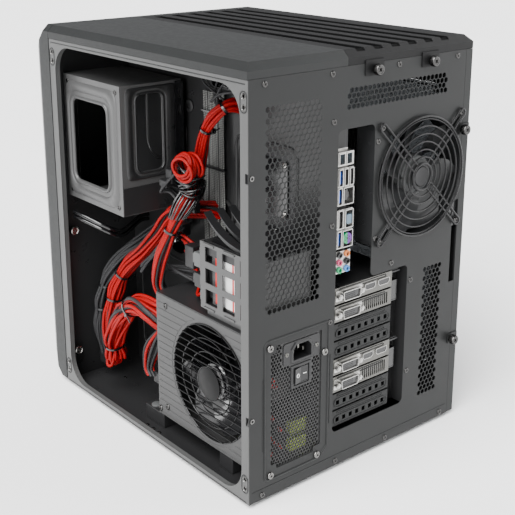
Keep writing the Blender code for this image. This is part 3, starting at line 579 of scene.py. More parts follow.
# ---------------------------------------------------------------- small fittings
SCREW_SEGMENTS = 20
KNURLS = 22
KNURL_DEPTH = 0.00042
KNURLED_FROM = 0.0055                            # a thumbscrew's head is knurled where its radius passes this


def cross_top(form, cu, cv, ring, radius, w, deep):
    """Close a screw head's last ring with a cross recess."""
    arm, half = radius * 0.62, radius * 0.17
    corners = []
    for k in range(4):
        a = math.pi / 4 + math.pi / 2 * k
        along, across = Vector((math.cos(a), math.sin(a))), Vector((-math.sin(a), math.cos(a)))
        centre = Vector((cu, cv))
        corners += [tuple(centre + along * arm - across * half), tuple(centre + along * arm + across * half),
                    tuple(centre + (along + across) * half)]
    rim = form.ring(corners, w)
    floor = form.ring(corners, w - deep)
    form.fill(ring, rim)
    form.wall(rim, floor)
    form.fill(floor)


def screw_head(form, cu, cv, w, radius, height):
    """A low domed head standing on the plane at w, with a cross recess."""
    profile = [(radius, w - 0.0002), (radius, w + height * 0.45), (radius * 0.88, w + height * 0.85),
               (radius * 0.7, w + height)]
    rings = [form.ring(circle(cu, cv, r, SCREW_SEGMENTS), level) for r, level in profile]
    form.walls(rings)
    form.fill(rings[0])
    cross_top(form, cu, cv, rings[-1], radius * 0.7, w + height, height * 0.7)


def screws(name, plane, places, w, radius, height, material):
    """A piece of screw heads that all stand on one plane."""
    form = Form(plane)
    for u, v in places:
        screw_head(form, u, v, w, radius, height)
    make(name, form, material, smooth=40)


def knurled_head(form, cu, cv, base):
    """A thumbscrew: a neck, a knurled head with a chamfer at each end, and a cross recess."""
    profile = [(0.002, base + 0.0004), (0.002, base + 0.0016), (0.0041, base + 0.0016),
               (0.0041, base + 0.0029), (0.0051, base + 0.0031), (0.0058, base + 0.0038),
               (0.0058, base + 0.0084), (0.0051, base + 0.0093), (0.0042, base + 0.0096),
               (0.0038, base + 0.0092)]
    rings = []
    for radius, w in profile:
        loop = circle(cu, cv, radius, 2 * KNURLS)
        if radius > KNURLED_FROM:
            loop[1::2] = circle(cu, cv, radius - KNURL_DEPTH, 2 * KNURLS)[1::2]
        rings.append(form.ring(loop, w))
    form.walls(rings)
    form.fill(rings[0])
    cross_top(form, cu, cv, rings[-1], *profile[-1], 0.002)


def bead(form, loop, w, height, width):
    """A rounded ridge pressed into a sheet along a closed loop."""
    levels = [(width / 2, -0.0003), (width * 0.36, height * 0.7), (width * 0.12, height),
              (-width * 0.12, height), (-width * 0.36, height * 0.7), (-width / 2, -0.0003)]
    form.hoop([(offset(loop, d), w + h) for d, h in levels])


TIE_WIDTH = 0.0026
TIE_THICK = 0.0011
TIE_TAIL = 0.01                                  # what is left of a tie beyond its lock


def zip_tie(form, centre, along, radius):
    """A flat tie pulled round a bundle, with its lock and cut tail."""
    along = Vector(along).normalized()
    side = along.orthogonal().normalized()
    up = along.cross(side)
    centre = Vector(centre)
    count = 20
    rows = []
    for half in (-TIE_WIDTH / 2, TIE_WIDTH / 2):
        for r in (radius, radius + TIE_THICK):
            rows.append([form.vert(centre + along * half + (side * math.cos(a) + up * math.sin(a)) * r)
                         for a in (math.tau * k / count for k in range(count))])
    for a, b in ((0, 1), (1, 3), (3, 2), (2, 0)):
        form.wall(rows[a], rows[b])
    lock = centre + up * (radius + 0.0016)
    form.tube([lock - along * 0.0024, lock + along * 0.0024], 0.0022, 4)
    form.tube([lock, lock + (up * 0.5 + side * 0.8).normalized() * TIE_TAIL], 0.0008, 4)


# ---------------------------------------------------------------- rear panel
VENT_PITCH = 0.0063
VENT_HOLE = 0.00312                              # corner radius of a vent's hole
IO_OPENING = ((0.0425, 0.046), (0.0425, 0.3795), (-0.0095, 0.3795),
              (-0.0095, 0.2135), (-0.0675, 0.2135), (-0.0675, 0.046))
PSU_OPENING = ((0.07, 0.034), (0.1215, 0.034), (0.1215, 0.04), (0.129, 0.04),
               (0.129, 0.164), (0.122, 0.164), (0.122, 0.172), (0.0602, 0.172),
               (0.0602, 0.04), (0.07, 0.04))
FRAME_SCREWS = ((0.138, 0.437), (0.052, 0.437), (-0.042, 0.437), (-0.134, 0.437), (0.049, 0.389),
                (-0.0145, 0.36), (0.049, 0.282), (-0.0145, 0.255), (-0.041, 0.2215), (0.049, 0.177),
                (-0.073, 0.194), (-0.073, 0.084), (0.1405, 0.0105), (0.037, 0.0105), (-0.041, 0.0105),
                (-0.135, 0.0105))
PSU_SCREWS = ((0.1306, 0.1712), (0.056, 0.146), (0.1298, 0.0288), (0.065, 0.0288))
LATCHES = (0.35, 0.099)                         # heights of the side panel's catches in the frame
GUARD_TIP = 0.088                               # from the fan's axis to a guard screw


def fan_opening(cu, cv, ring, half, tips):
    """A round hole with a rounded slot towards each corner screw."""
    outline = []
    for quarter, tip in enumerate(tips):
        a = math.pi / 4 + quarter * math.pi / 2
        spread = math.asin(half / ring)
        along, across = Vector((math.cos(a), math.sin(a))), Vector((-math.sin(a), math.cos(a)))
        end = Vector((cu, cv)) + along * tip
        for k in range(9):
            turn = -math.pi / 2 + math.pi * k / 8
            outline.append(tuple(end + (along * math.cos(turn) + across * math.sin(turn)) * half))
        for k in range(17):
            b = a + spread + (math.pi / 2 - 2 * spread) * k / 16
            outline.append((cu + ring * math.cos(b), cv + ring * math.sin(b)))
    return outline


def rear_vents(form):
    """The three honeycomb vents: their cells, made in the form, as edges for the sheet round them."""
    edges = []
    for box in ((0.065, 0.208, 0.139, 0.416), (-0.1195, 0.399, 0.033, 0.421),
                (-0.125, 0.045, -0.093, 0.204)):
        edges += honeycomb(form, lattice(*box, VENT_PITCH), VENT_PITCH, VENT_HOLE, REAR_Y - STEEL, REAR_Y)
    return edges


def build_rear_panel():
    x0, x1 = REAR_LOW.x, REAR_HIGH.x
    z0, z1 = REAR_LOW.z, REAR_HIGH.z
    grip_x, grip_low, grip_high = -0.139, 0.175, 0.2735
    outline = [(x0, z0), (x1, z0), (x1, z1), (x0, z1), (x0, grip_high), (grip_x, grip_high),
               (grip_x, grip_low), (x0, grip_low)]
    holes = [rounded(IO_OPENING, 0.006), rounded(PSU_OPENING, 0.0012, 2),
             fan_opening(REAR_FAN.x, REAR_FAN.z, 0.0655, 0.0042, (0.0888, 0.0815, 0.074, 0.0888))]
    form = Form("y")
    form.sheet((outline, *holes), REAR_Y - STEEL, REAR_Y, rear_vents)
    bead(form, rounded(((0.061, 0.0245), (0.1375, 0.0245), (0.1375, 0.175), (0.133, 0.1795), (0.0505, 0.1795),
                        (0.0505, 0.035)), 0.004), REAR_Y, 0.001, 0.0026)
    for side in (0.0475, 0.14):
        form.tube([(side, REAR_Y, 0.06), (side, REAR_Y, 0.14)], 0.0006, 8)
    form.tube([(x0 + 0.004, REAR_Y, 0.0172), (x1 - 0.004, REAR_Y, 0.0172)], 0.0005, 8)
    make("rear_panel_sheet", form, STEEL_GREY, stands_for=["rear_panel"])

    screws("rear_frame_screws", "y", FRAME_SCREWS, REAR_Y, 0.0032, 0.0012, DARK_NICKEL)
    fixings = Form("y")
    for x, z in PSU_SCREWS:
        screw_head(fixings, x, z, REAR_Y, 0.004, 0.0022)
    for z in LATCHES:
        fixings.turned(0.1537, z, [(0.0026, REAR_Y - 0.0003), (0.0026, REAR_Y + 0.0007),
                                   (0.0014, REAR_Y + 0.0007), (0.0014, REAR_Y - 0.0002)], 16)
    make("psu_screws", fixings, SCREW_STEEL, smooth=40)


# Radius and half the thickness of each ring of the rear fan's guard.
GUARD_RINGS = ((0.066, 0.0013), (0.0632, 0.0008), (0.0556, 0.001), (0.0472, 0.001), (0.0386, 0.001),
               (0.03, 0.001), (0.0218, 0.001), (0.0146, 0.0017))


def build_fan_guard():
    cu, cv = REAR_FAN.x, REAR_FAN.z
    w = REAR_Y + 0.0032
    rings = Form("y")
    for radius, thick in GUARD_RINGS:
        rings.loop_wire(circle(cu, cv, radius, 72), w, thick, 8)
    half = 0.0042                                # half the gap between an arm's two wires
    for quarter in range(4):
        a = math.pi / 4 + quarter * math.pi / 2
        along, across = Vector((math.cos(a), 0, math.sin(a))), Vector((-math.sin(a), 0, math.cos(a)))
        centre = Vector((cu, w - 0.0005, cv))
        arm = [centre + along * reach for reach in (0.015, 0.05)]
        bend = [centre + along * (GUARD_TIP + half * math.sin(turn)) + across * half * math.cos(turn)
                for turn in (math.pi * k / 8 for k in range(9))]
        out = [p + across * half for p in arm]
        home = [p - across * half for p in reversed(arm)]
        rings.tube([*out, *bend, *home], 0.0012, 8)
    rings.turned(cu, cv, [(0.003, w - 0.0026), (0.0105, w - 0.0024), (0.0112, w - 0.0012),
                          (0.0104, w - 0.0004), (0.008, w - 0.0007), (0.001, w - 0.0009)], 40)
    make("rear_guard_wires", rings, WIRE, stands_for=["rear_fan_guard"], smooth=50)

    corners = circle(cu, cv, GUARD_TIP, 8)[1::2]
    screws("rear_guard_screws", "y", corners, REAR_Y + 0.0008, 0.0034, 0.002, DARK_NICKEL)
    washers = Form("y")
    for x, z in corners:
        washers.turned(x, z, [(0.005, REAR_Y + 0.0001), (0.005, REAR_Y + 0.0007), (0.0036, REAR_Y + 0.0009),
                              (0.002, REAR_Y + 0.0009)], 24)
    make("rear_guard_washers", washers, RUBBER, smooth=40)


# ---------------------------------------------------------------- fans
def fan_blades(name, plane, node, body, hub, tip, blades, material, hub_material):
    """A rotor: a domed hub and thin pitched blades with a curved leading edge."""
    low, high = BOX[node]
    axis = {"x": 0, "y": 1}[plane]
    centre = (low + high) / 2
    cu, cv = (centre.y, centre.z) if plane == "x" else (centre.x, centre.z)
    w0, w1 = low[axis], high[axis]
    form = Form(plane)
    stations, steps = 7, 6
    thick = 0.0007
    for blade in range(blades):
        base = math.tau * blade / blades
        layers = []
        for side in (-1, 1):
            grid = []
            for i in range(stations):
                t = i / (stations - 1)
                radius = hub * 0.97 + (tip - hub * 0.97) * t
                lead = base + 0.5 * t ** 1.6
                chord = math.tau / blades * (0.92 - 0.1 * t)
                row = []
                for k in range(steps):
                    s = k / (steps - 1)
                    angle = lead + chord * s
                    rise = (w1 - w0) * (0.06 + 0.88 * s + 0.1 * math.sin(math.pi * s) * (1 - t))
                    u, v = cu + radius * math.cos(angle), cv + radius * math.sin(angle)
                    row.append(form.ring([(u, v)], w1 - rise + side * thick)[0])
                grid.append(row)
            layers.append(grid)
        for grid in layers:
            form.walls(grid, closed=False)
        lower, upper = layers
        for end in (0, -1):
            form.wall(lower[end], upper[end], closed=False)
        for end in (0, -1):
            form.wall([row[end] for row in lower], [row[end] for row in upper], closed=False)
    form.paint(1)
    form.turned(cu, cv, [(hub * 0.2, w0 + 0.001), (hub * 0.94, w0 + 0.001), (hub, w0 + 0.0022),
                         (hub, w1 - 0.0022), (hub * 0.94, w1 - 0.0006), (hub * 0.84, w1),
                         (hub * 0.78, w1 - 0.0007), (hub * 0.1, w1 - 0.0006)], 40)
    make(name, form, [material, hub_material], body=body, stands_for=[node], smooth=35)


def build_fans():
    fan_blades("rear_fan_blades", "y", "rear_fan_rotor", "rear_fan", 0.022, 0.0662, 7, FAN_PLASTIC, FAN_GREY)
    for fan in ("front_fan_1", "front_fan_2"):
        fan_blades(f"{fan}_blades", "y", f"{fan}_rotor", fan, 0.022, 0.0662, 7, FAN_PLASTIC, FAN_PLASTIC)
    fan_blades("cooler_fan_blades", "y", "cooler_fan_rotor", "cooler_fan", 0.02, 0.0556, 7, FAN_PLASTIC,
               FAN_GREY)
    fan_blades("psu_fan_blades", "x", "psu_fan_rotor", "psu_fan", 0.021, 0.0606, 7, GLOSS, GLOSS)


# ---------------------------------------------------------------- thumbscrews
def build_thumbscrews():
    for n in (1, 2):
        for node in (f"panel_thumbscrew_{n}", f"top_thumbscrew_{n}"):
            low, high = BOX[node]
            form = Form("y")
            knurled_head(form, (low.x + high.x) / 2, (low.z + high.z) / 2, REAR_Y)
            make(f"{node}_knurled", form, DARK_NICKEL, body=node, stands_for=[node],
                 smooth=35)


# ---------------------------------------------------------------- rear connectors
PORT_FINISHES = [SHELL, GLOSS, BLUE, SKY, PLASTIC]
IN_SHELL, IN_DARK, IN_BLUE, IN_SKY, IN_BLACK = range(5)
IO_LEFT, IO_RIGHT = 0.0392, 0.0192
IO_BACK = 0.0092                                 # from the sockets' mouths in to the connector bodies
USB = (0.0362, 0.006, 0.0185, 0.0, IN_DARK, IN_BLUE)
# Each row: height over the fifth row, half the face plate, and its sockets.
# Each socket: x, width, height, how far it stands proud, inside, tongue.
IO_ROWS = ((0.085, 0.0072,
            ((0.0345, 0.0085, 0.0125, 0.0, IN_SKY, None), (0.0245, 0.0085, 0.0125, 0.0, IN_SKY, None))),
           (0.0658, 0.0098, ((0.0362, 0.006, 0.0185, 0.0008, IN_DARK, IN_BLUE),
                             (0.0288, 0.006, 0.0185, 0.0008, IN_DARK, IN_BLACK),
                             (0.0215, 0.006, 0.0185, 0.0008, IN_DARK, IN_BLACK))),
           (0.0459, 0.0098, (USB, (0.0252, 0.0145, 0.0185, 0.0006, IN_DARK, None))),
           (0.0213, 0.0106, ((0.0348, 0.007, 0.02, 0.0, IN_DARK, IN_BLACK),
                             (0.024, 0.0115, 0.02, 0.001, IN_SHELL, None))),
           (0.0, 0.0098, (USB, (0.0252, 0.0145, 0.0185, 0.0006, IN_SHELL, None))))


def centred(u, v, wide, tall, radius, segments=2):
    """A rounded rectangle round a point."""
    return rounded_rectangle(u - wide / 2, v - tall / 2, u + wide / 2, v + tall / 2, radius, segments)


def socket(form, x, z, wide, tall, y, inside, tongue):
    """A stamped connector shell in the rear face, open towards +Y."""
    outer = centred(x, z, wide, tall, 0.0008)
    form.paint(IN_SHELL)
    form.band(outer, offset(outer, -0.0009), y - 0.009, y)
    form.paint(inside)
    form.prism(offset(outer, -0.0005), y - 0.009, y - 0.007)
    if tongue is None:
        return
    form.paint(tongue)
    if tall > wide:
        form.slab((x - wide * 0.02, y - 0.0075, z - tall * 0.34),
                  (x + wide * 0.26, y - 0.001, z + tall * 0.34))
    else:
        form.slab((x - wide * 0.34, y - 0.0075, z - tall * 0.05),
                  (x + wide * 0.34, y - 0.001, z + tall * 0.22))


def face_plate(form, y, z, half, sockets):
    """The folded plate round a row of sockets, with a hole for each."""
    outline = rounded_rectangle(IO_RIGHT - 0.0013, z - half, IO_LEFT + 0.0006, z + half, 0.0006, 2)
    plate = [form.ring(outline, y - 0.0008)]
    form.wall(plate[0], form.ring(outline, y - IO_BACK))
    for x, wide, tall, *_ in sockets:
        plate.append(form.ring(offset(centred(x, z, wide, tall, 0.0008), -0.0003), y - 0.0008))
    form.fill(*plate)


def keyboard_port(x, z, y):
    """A round socket for a keyboard or a mouse, half purple and half green."""
    radius = 0.006
    port = Form("y")
    for mark, start in enumerate((math.pi / 2, -math.pi / 2)):
        port.paint(mark)
        turns = [start + math.pi * k / 12 for k in range(13)]
        port.prism([(x + radius * math.cos(a), z + radius * math.sin(a)) for a in turns], y - 0.007,
                   y + 0.0002)
    port.paint(2)
    for u, v in circle(x, z, 0.0032, 12)[1::2]:
        port.prism(circle(u, v, 0.0006, 8), y - 0.001, y + 0.0004)
    port.prism(rectangle(x - 0.0009, z - 0.0012, x + 0.0009, z + 0.0012), y - 0.001, y + 0.0004)
    make("io_keyboard_port", port, [PURPLE, GREEN, GLOSS], smooth=35)


def audio_jacks(z, y):
    """Six round jacks, each of its own colour, in a block."""
    colours = [GLOSS, ORANGE, PINK, PLASTIC, GREEN, LIGHT_BLUE]
    jacks = Form("y")
    for index in range(len(colours)):
        row, column = divmod(index, 2)
        x, v = 0.0348 - 0.0105 * column, z + 0.0082 - 0.0082 * row
        jacks.paint(index)
        jacks.turned(x, v,
                     [(0.0036, y - 0.008), (0.0036, y + 0.0002), (0.003, y + 0.0008), (0.0019, y + 0.0008),
                            (0.0019, y - 0.006)], 20)
        jacks.paint(len(colours))
        jacks.prism(circle(x, v, 0.002, 12), y - 0.009, y - 0.004)
    jacks.paint(len(colours) + 1)
    jacks.slab((IO_RIGHT, y - 0.0095, z - 0.012), (IO_LEFT, y - 0.0015, z + 0.012))
    make("io_audio_jacks", jacks, [*colours, GLOSS, SHELL], smooth=35)


def build_io_ports():
    low, high = BOX["io_ports"]
    y = high.y
    pitch = (high.z - low.z) / 6
    fifth, lowest = high.z - pitch * 4.5, high.z - pitch * 5.5
    levels = [fifth + row[0] for row in IO_ROWS]
    bodies = Form("y")
    for z in (*levels, lowest):
        bodies.slab((IO_RIGHT - 0.0005, low.y, z - 0.0088), (IO_LEFT + 0.001, y - IO_BACK, z + 0.0088))
    for z, (_, half, sockets) in zip(levels, IO_ROWS):
        face_plate(bodies, y, z, half, sockets)
    make("io_port_bodies", bodies, SHELL, bevel=0.0005, stands_for=["io_ports"])

    ports = Form("y")
    for row, z in enumerate(levels):
        for x, wide, tall, proud, inside, tongue in IO_ROWS[row][2]:
            socket(ports, x, z, wide, tall, y + proud, inside, tongue)
        if row == 2:
            ports.paint(IN_DARK)
            ports.prism(((0.03, z - 0.0055), (0.03, z + 0.0055), (0.0235, z + 0.0055), (0.0235, z + 0.003),
                         (0.0215, z + 0.003), (0.0215, z - 0.003), (0.0235, z - 0.003), (0.0235, z - 0.0055)),
                        y - 0.007, y - 0.003)
        if row == 3:
            ports.paint(IN_SKY)
            ports.prism(rounded_rectangle(0.0195, z - 0.006, 0.0265, z + 0.004, 0.001, 2), y - 0.008,
                        y - 0.0002)
    make("io_sockets", ports, PORT_FINISHES, smooth=35)
    keyboard_port(0.0252, fifth, y)
    audio_jacks(lowest, y)
    backing = Form("y")
    backing.slab((IO_RIGHT - 0.0004, y - 0.012, low.z), (IO_LEFT + 0.0008, y - 0.0094, high.z))
    make("io_port_back", backing, PLASTIC)


# ---------------------------------------------------------------- expansion slots
def slot_z(number):
    return SLOT_3_Z + (3 - number) * SLOT_PITCH


def bracket(form, number, holes=()):
    """A card bracket: its plate, and the tab that turns in to the screw rail."""
    z = slot_z(number)
    x0, x1 = BRACKET_X
    half = 0.0091
    form.prism(rounded_rectangle(x0, z - half, x1, z + half, 0.0012, 3), BRACKET_Y - STEEL, BRACKET_Y, holes)
    form.slab((x0 - 0.0003, BRACKET_Y - 0.013, z - half), (x0 + 0.0007, BRACKET_Y - STEEL * 0.5, z + half))
    form.slab((x0 - 0.014, BRACKET_Y - 0.013, z - half), (x0, BRACKET_Y - 0.012, z + half))


def dvi(form, x, z, y):
    """A DVI socket between its two hexagonal posts. Its marks are shell, inside and pins."""
    outline = rounded([(x - 0.0124, z + 0.0045), (x + 0.0124, z + 0.0045), (x + 0.0113, z - 0.0045),
                       (x - 0.0113, z - 0.0045)], 0.0014, 3)
    form.paint(0)
    form.prism(centred(x, z, 0.039, 0.012, 0.0015, 3), y - 0.0004, y + 0.0006)
    form.band(offset(outline, 0.0008), outline, y, y + 0.0058)
    form.paint(1)
    form.prism(outline, y - 0.0002, y + 0.004)
    form.paint(2)
    for column in range(8):
        for row in range(3):
            u, v = x + 0.0085 - 0.0019 * column, z - 0.0021 + 0.0021 * row
            form.prism(rectangle(u - 0.0004, v - 0.0003, u + 0.0004, v + 0.0003), y + 0.0038, y + 0.0043)
    form.paint(0)
    for u in (x - 0.0163, x + 0.0163):
        form.prism(circle(u, z, 0.0031, 6), y, y + 0.0052)
        form.prism(circle(u, z, 0.0019, 12), y + 0.005, y + 0.006)


def hdmi(form, x, z, y, wide):
    """A narrow socket with its lower corners cut off, marked as a DVI socket is."""
    half = wide / 2
    outline = rounded([(x - half, z + 0.003), (x + half, z + 0.003), (x + half, z - 0.001),
                       (x + half - 0.0022, z - 0.003), (x - half + 0.0022, z - 0.003), (x - half, z - 0.001)],
                      0.0006, 2)
    form.paint(0)
    form.band(offset(outline, 0.0006), outline, y, y + 0.001)
    form.paint(1)
    form.prism(outline, y - 0.0002, y + 0.0004)


def card_bracket(index, first):
    """A graphics card's double bracket: sockets in both plates, and slits in the lower one."""
    z = slot_z(first + 1)
    plates = Form("y")
    bracket(plates, first)
    slits = [rounded_rectangle(x - 0.0009, z - 0.0066, x + 0.0009, z + 0.0066, 0.0006, 2)
             for x in (-0.0068 - 0.0031 * n for n in range(12))]
    bracket(plates, first + 1, slits)
    make(f"graphics_bracket_{index}", plates, BRACKET, bevel=0.0002)
    sockets = Form("y")
    for number in (first, first + 1):
        dvi(sockets, 0.0178, slot_z(number), BRACKET_Y)
    for x, wide in ((-0.0135, 0.015), (-0.0345, 0.016)):
        hdmi(sockets, x, slot_z(first), BRACKET_Y, wide)
    make(f"graphics_sockets_{index}", sockets, [SHELL, GLOSS, PLASTIC], smooth=35)


def blank_covers(index, first):
    """Two blank slot covers, each with a row of square holes in a pressed oval."""
    blanks = Form("y")
    for number in (first, first + 1):
        z = slot_z(number)
        holes = [rectangle(x - 0.0024, z - 0.0045, x + 0.0024, z + 0.0005)
                 for x in (0.0305 - 0.01 * n for n in range(8))]
        bracket(blanks, number, holes)
        bead(blanks, stadium((-0.04, z - 0.002), (0.031, z - 0.002), 0.005), BRACKET_Y, 0.0007, 0.0012)
    make(f"slot_blanks_{index}", blanks, STEEL_GREY, bevel=0.00015,
         stands_for=[f"slot_covers_{index}"])


def build_slots():
    for index, first in enumerate(CARD_SLOTS, 1):
        card_bracket(index, first)
        blank_covers(index, first + 2)
    y = BRACKET_Y
    ribs = Form("y")
    heights = [slot_z(number) for number in range(1, 9)]
    for z in heights:
        bead(ribs, stadium((-0.037, z + 0.0062), (0.03, z + 0.0062), 0.0013), y, 0.0006, 0.0012)
        ribs.slab((BRACKET_X[0] - 0.001, y - 0.003, z - 0.0103), (BRACKET_X[1], y - 0.0018, z - 0.0097))
    make("slot_ribs", ribs, STEEL_GREY, smooth=40)
    screws("slot_screws", "y", [(-0.0555, z + 0.001) for z in heights], y - 0.012, 0.003, 0.0024, SCREW_STEEL)
    rail = Form("y")
    rail.slab((-0.069, y - 0.0145, 0.044), (-0.0475, y - 0.0131, 0.215))
    rail.slab((-0.07, y - 0.0145, 0.044), (-0.069, REAR_Y - STEEL - 0.0002, 0.215))
    make("slot_rail", rail, STEEL_BLACK, bevel=0.0003)


# ---------------------------------------------------------------- outer shells
GROOVE_X = 0.0155                                # +X side of the first groove in the top cover
GROOVE_PITCH = 0.0254
GROOVE_WIDTH = 0.012
GROOVE_FLOOR = 0.445
GROOVES = 6
FRAME_Y = (-0.159, 0.1965)                      # the open side's corner fixings
FRAME_Z = (0.422, 0.0272)


def frame_outline(low, high):
    """The open side's edge, with a notch for each of the side panel's catches."""
    half, deep = 0.0048, 0.0042
    outline = [(low.y, low.z), (high.y, low.z)]
    for z in reversed(LATCHES):
        outline += [(high.y, z - half), (high.y - deep, z - half), (high.y - deep, z + half),
                    (high.y, z + half)]
    return outline + [(high.y, high.z), (low.y, high.z)]


def build_side_frame():
    low, high = BOX["side_frame_right"]
    skin = high.x - 0.0006
    lip = skin - 0.0064
    opening = rounded_rectangle(-0.153, 0.0115, 0.191, 0.4355, 0.03, 10)
    pairs = [(y, z + dz) for y in FRAME_Y for z in FRAME_Z for dz in (0.0052, -0.0052)]

    def turned_in(form):
        """The opening's edge, rolled in to a lip."""
        levels = [(opening, skin), (offset(opening, 0.0004), skin - 0.0008), (offset(opening, 0.0004), lip),
                  (offset(opening, STEEL), lip), (offset(opening, STEEL), skin - STEEL)]
        rings = [form.ring(loop, w) for loop, w in levels]
        form.walls(rings)
        return [(rings[-1], rings[0])]

    form = Form("x")
    form.sheet([frame_outline(low, high)] + [circle(y, z, 0.002, 16) for y, z in pairs], skin - STEEL, skin,
               turned_in)
    # The frame takes the lighter, lit copy of the chassis steel: painted light.
    make("side_frame_open", form, LIT_FRAME_GREY, stands_for=["side_frame_right"],
         bevel=0.00035)

    trims = Form("x")
    for y in FRAME_Y:
        for z in FRAME_Z:
            bead(trims, stadium((y, z - 0.0052), (y, z + 0.0052), 0.0049), skin, 0.0006, 0.0012)
    for z in (high.z - 0.004, low.z + 0.0018):
        trims.tube([(skin, low.y + 0.004, z), (skin, high.y - 0.004, z)], 0.0005, 8)
    make("frame_corner_beads", trims, STEEL_GREY, smooth=50)
    rings = Form("x")
    for y, z in pairs:
        rings.loop_wire(circle(y, z, 0.0028, 24), skin + 0.0001, 0.0005)
        rings.turned(y, z, [(0.0027, skin - 0.004), (0.0027, skin - 0.0012), (0.002, skin - 0.0012),
                            (0.002, skin - 0.0036)], 20)
    make("frame_corner_rings", rings, SCREW_STEEL, smooth=50)


def build_top():
    high = BOX["top_grille"][1]
    rear, front = REAR_Y - 0.0045, -0.157
    # The grooves' walls and mesh take the painted-shade black, for the shadow in the grooves.
    walls = Form("x")
    mesh = Form("x")
    thick = 0.0013
    for n in range(GROOVES):
        x1 = GROOVE_X - n * GROOVE_PITCH
        x0 = x1 - GROOVE_WIDTH
        for a, b in ((x0 - thick, x0 + 0.0003), (x1 - 0.0003, x1 + thick)):
            walls.prism([(front, GROOVE_FLOOR), (rear, GROOVE_FLOOR), (rear, high.z - 0.0042),
                         (rear - 0.0036, high.z - 0.0007), (front, high.z - 0.0007)], a, b)
        walls.prism([(rear - 0.016, GROOVE_FLOOR), (rear, GROOVE_FLOOR), (rear, high.z - 0.0045),
                     (rear - 0.004, high.z - 0.001)], x0, x1)
        walls.prism([(front, GROOVE_FLOOR), (front + 0.01, GROOVE_FLOOR), (front, high.z - 0.001)], x0, x1)
        for k in range(int((rear - front - 0.03) / 0.003)):
            y = front + 0.012 + 0.003 * k
            mesh.slab((x0, y, GROOVE_FLOOR + 0.0008), (x1, y + 0.0011, GROOVE_FLOOR + 0.0016))
        for k in range(4):
            x = x0 + GROOVE_WIDTH * (k + 0.5) / 4
            mesh.slab((x - 0.0004, front + 0.01, GROOVE_FLOOR + 0.0002),
                      (x + 0.0004, rear - 0.018, GROOVE_FLOOR + 0.0009))
    make("top_groove_walls", walls, SHADE_AND_MEMBRANE_BLACK, body="top_grille")
    make("top_groove_mesh", mesh, SHADE_AND_MEMBRANE_BLACK, body="top_grille")
    dress("top_cover", TOP_BLACK, 0.0006)
    dress("top_grille", RIB_BLACK, 0.0006)


def dress(node, material, bevel=0.0, segments=2):
    """Give a CAD node that stays in view its finish, and soft edges."""
    piece = NODES[node]
    piece.data.materials.clear()
    piece.data.materials.append(material)
    if bevel:
        soften(piece, bevel, segments)


def front_mesh():
    """The fine mesh behind the front grille's ribs."""
    low, high = BOX["front_grille"]
    mesh = Form("y")
    for k in range(int((high.z - low.z - 0.02) / 0.0032)):
        z = low.z + 0.01 + 0.0032 * k
        mesh.slab((low.x + 0.004, high.y + 0.0002, z), (high.x - 0.004, high.y + 0.001, z + 0.0011))
    for k in range(40):
        x = low.x + 0.006 + (high.x - low.x - 0.012) * k / 39
        mesh.slab((x - 0.0004, high.y + 0.0009, low.z + 0.008), (x + 0.0004, high.y + 0.0015, high.z - 0.008))
    make("front_grille_mesh", mesh, WIRE)


def front_ports():
    """Two USB sockets over two audio jacks."""
    low, high = BOX["port_panel"]
    x, y = (low.x + high.x) / 2, low.y
    ports = Form("y")
    for z in (0.1529, 0.1359):
        ports.paint(0)
        outer = centred(x, z, 0.0128, 0.0056, 0.0006)
        ports.band(outer, offset(outer, -0.0005), y + 0.0006, y + 0.008)
        ports.paint(1)
        ports.slab((x - 0.005, y + 0.0012, z - 0.0004), (x + 0.005, y + 0.008, z + 0.0014))
    ports.paint(2)
    for z in (0.112, 0.095):
        ports.turned(x, z,
                     [(0.0036, y + 0.001), (0.0036, y + 0.0003), (0.0025, y + 0.0003), (0.0023, y + 0.006)],
                     24)
    make("front_sockets", ports, [SHELL, BLUE, DARK_NICKEL], smooth=35)


def build_front():
    dress("front_grille", RIB_BLACK, 0.0005)
    for name in ("front_bezel", "bay_cover_1", "bay_cover_2"):
        dress(name, TOP_BLACK, 0.0005)
    for name in ("power_button", "reset_button"):
        dress(name, GLOSS, 0.0003)
    dress("port_panel", PLASTIC, 0.0003)
    front_mesh()
    front_ports()
    low, high = BOX["power_button"]
    ring = Form("y")
    ring.loop_wire(circle((low.x + high.x) / 2, (low.z + high.z) / 2, 0.0058, 48), low.y + 0.0007, 0.0004)
    make("power_button_ring", ring, DARK_NICKEL, body="power_button", smooth=50)


def build_side_panel():
    dress("side_panel", STEEL_GREY, 0.0004)
    dress("side_window", PANE)
    low, high = BOX["side_window"]
    seal = Form("x")
    seal.loop_wire(rounded_rectangle(low.y + 0.003, low.z + 0.003, high.y - 0.003, high.z - 0.003, 0.01),
                   high.x + 0.0008, 0.0011)
    make("window_seal", seal, RUBBER, body="side_panel", smooth=50)
    studs = Form("x")
    for y in (low.y + 0.008, (low.y + high.y) / 2, high.y - 0.008):
        for z in (low.z + 0.008, high.z - 0.008):
            studs.turned(y, z, [(0.003, low.x + 0.0004), (0.003, high.x + 0.001), (0.0022, high.x + 0.002)],
                         20)
    make("window_studs", studs, DARK_NICKEL, body="side_panel", smooth=40)


def build_feet():
    for n in range(1, 5):
        dress(f"foot_{n}", RUBBER, 0.0006)


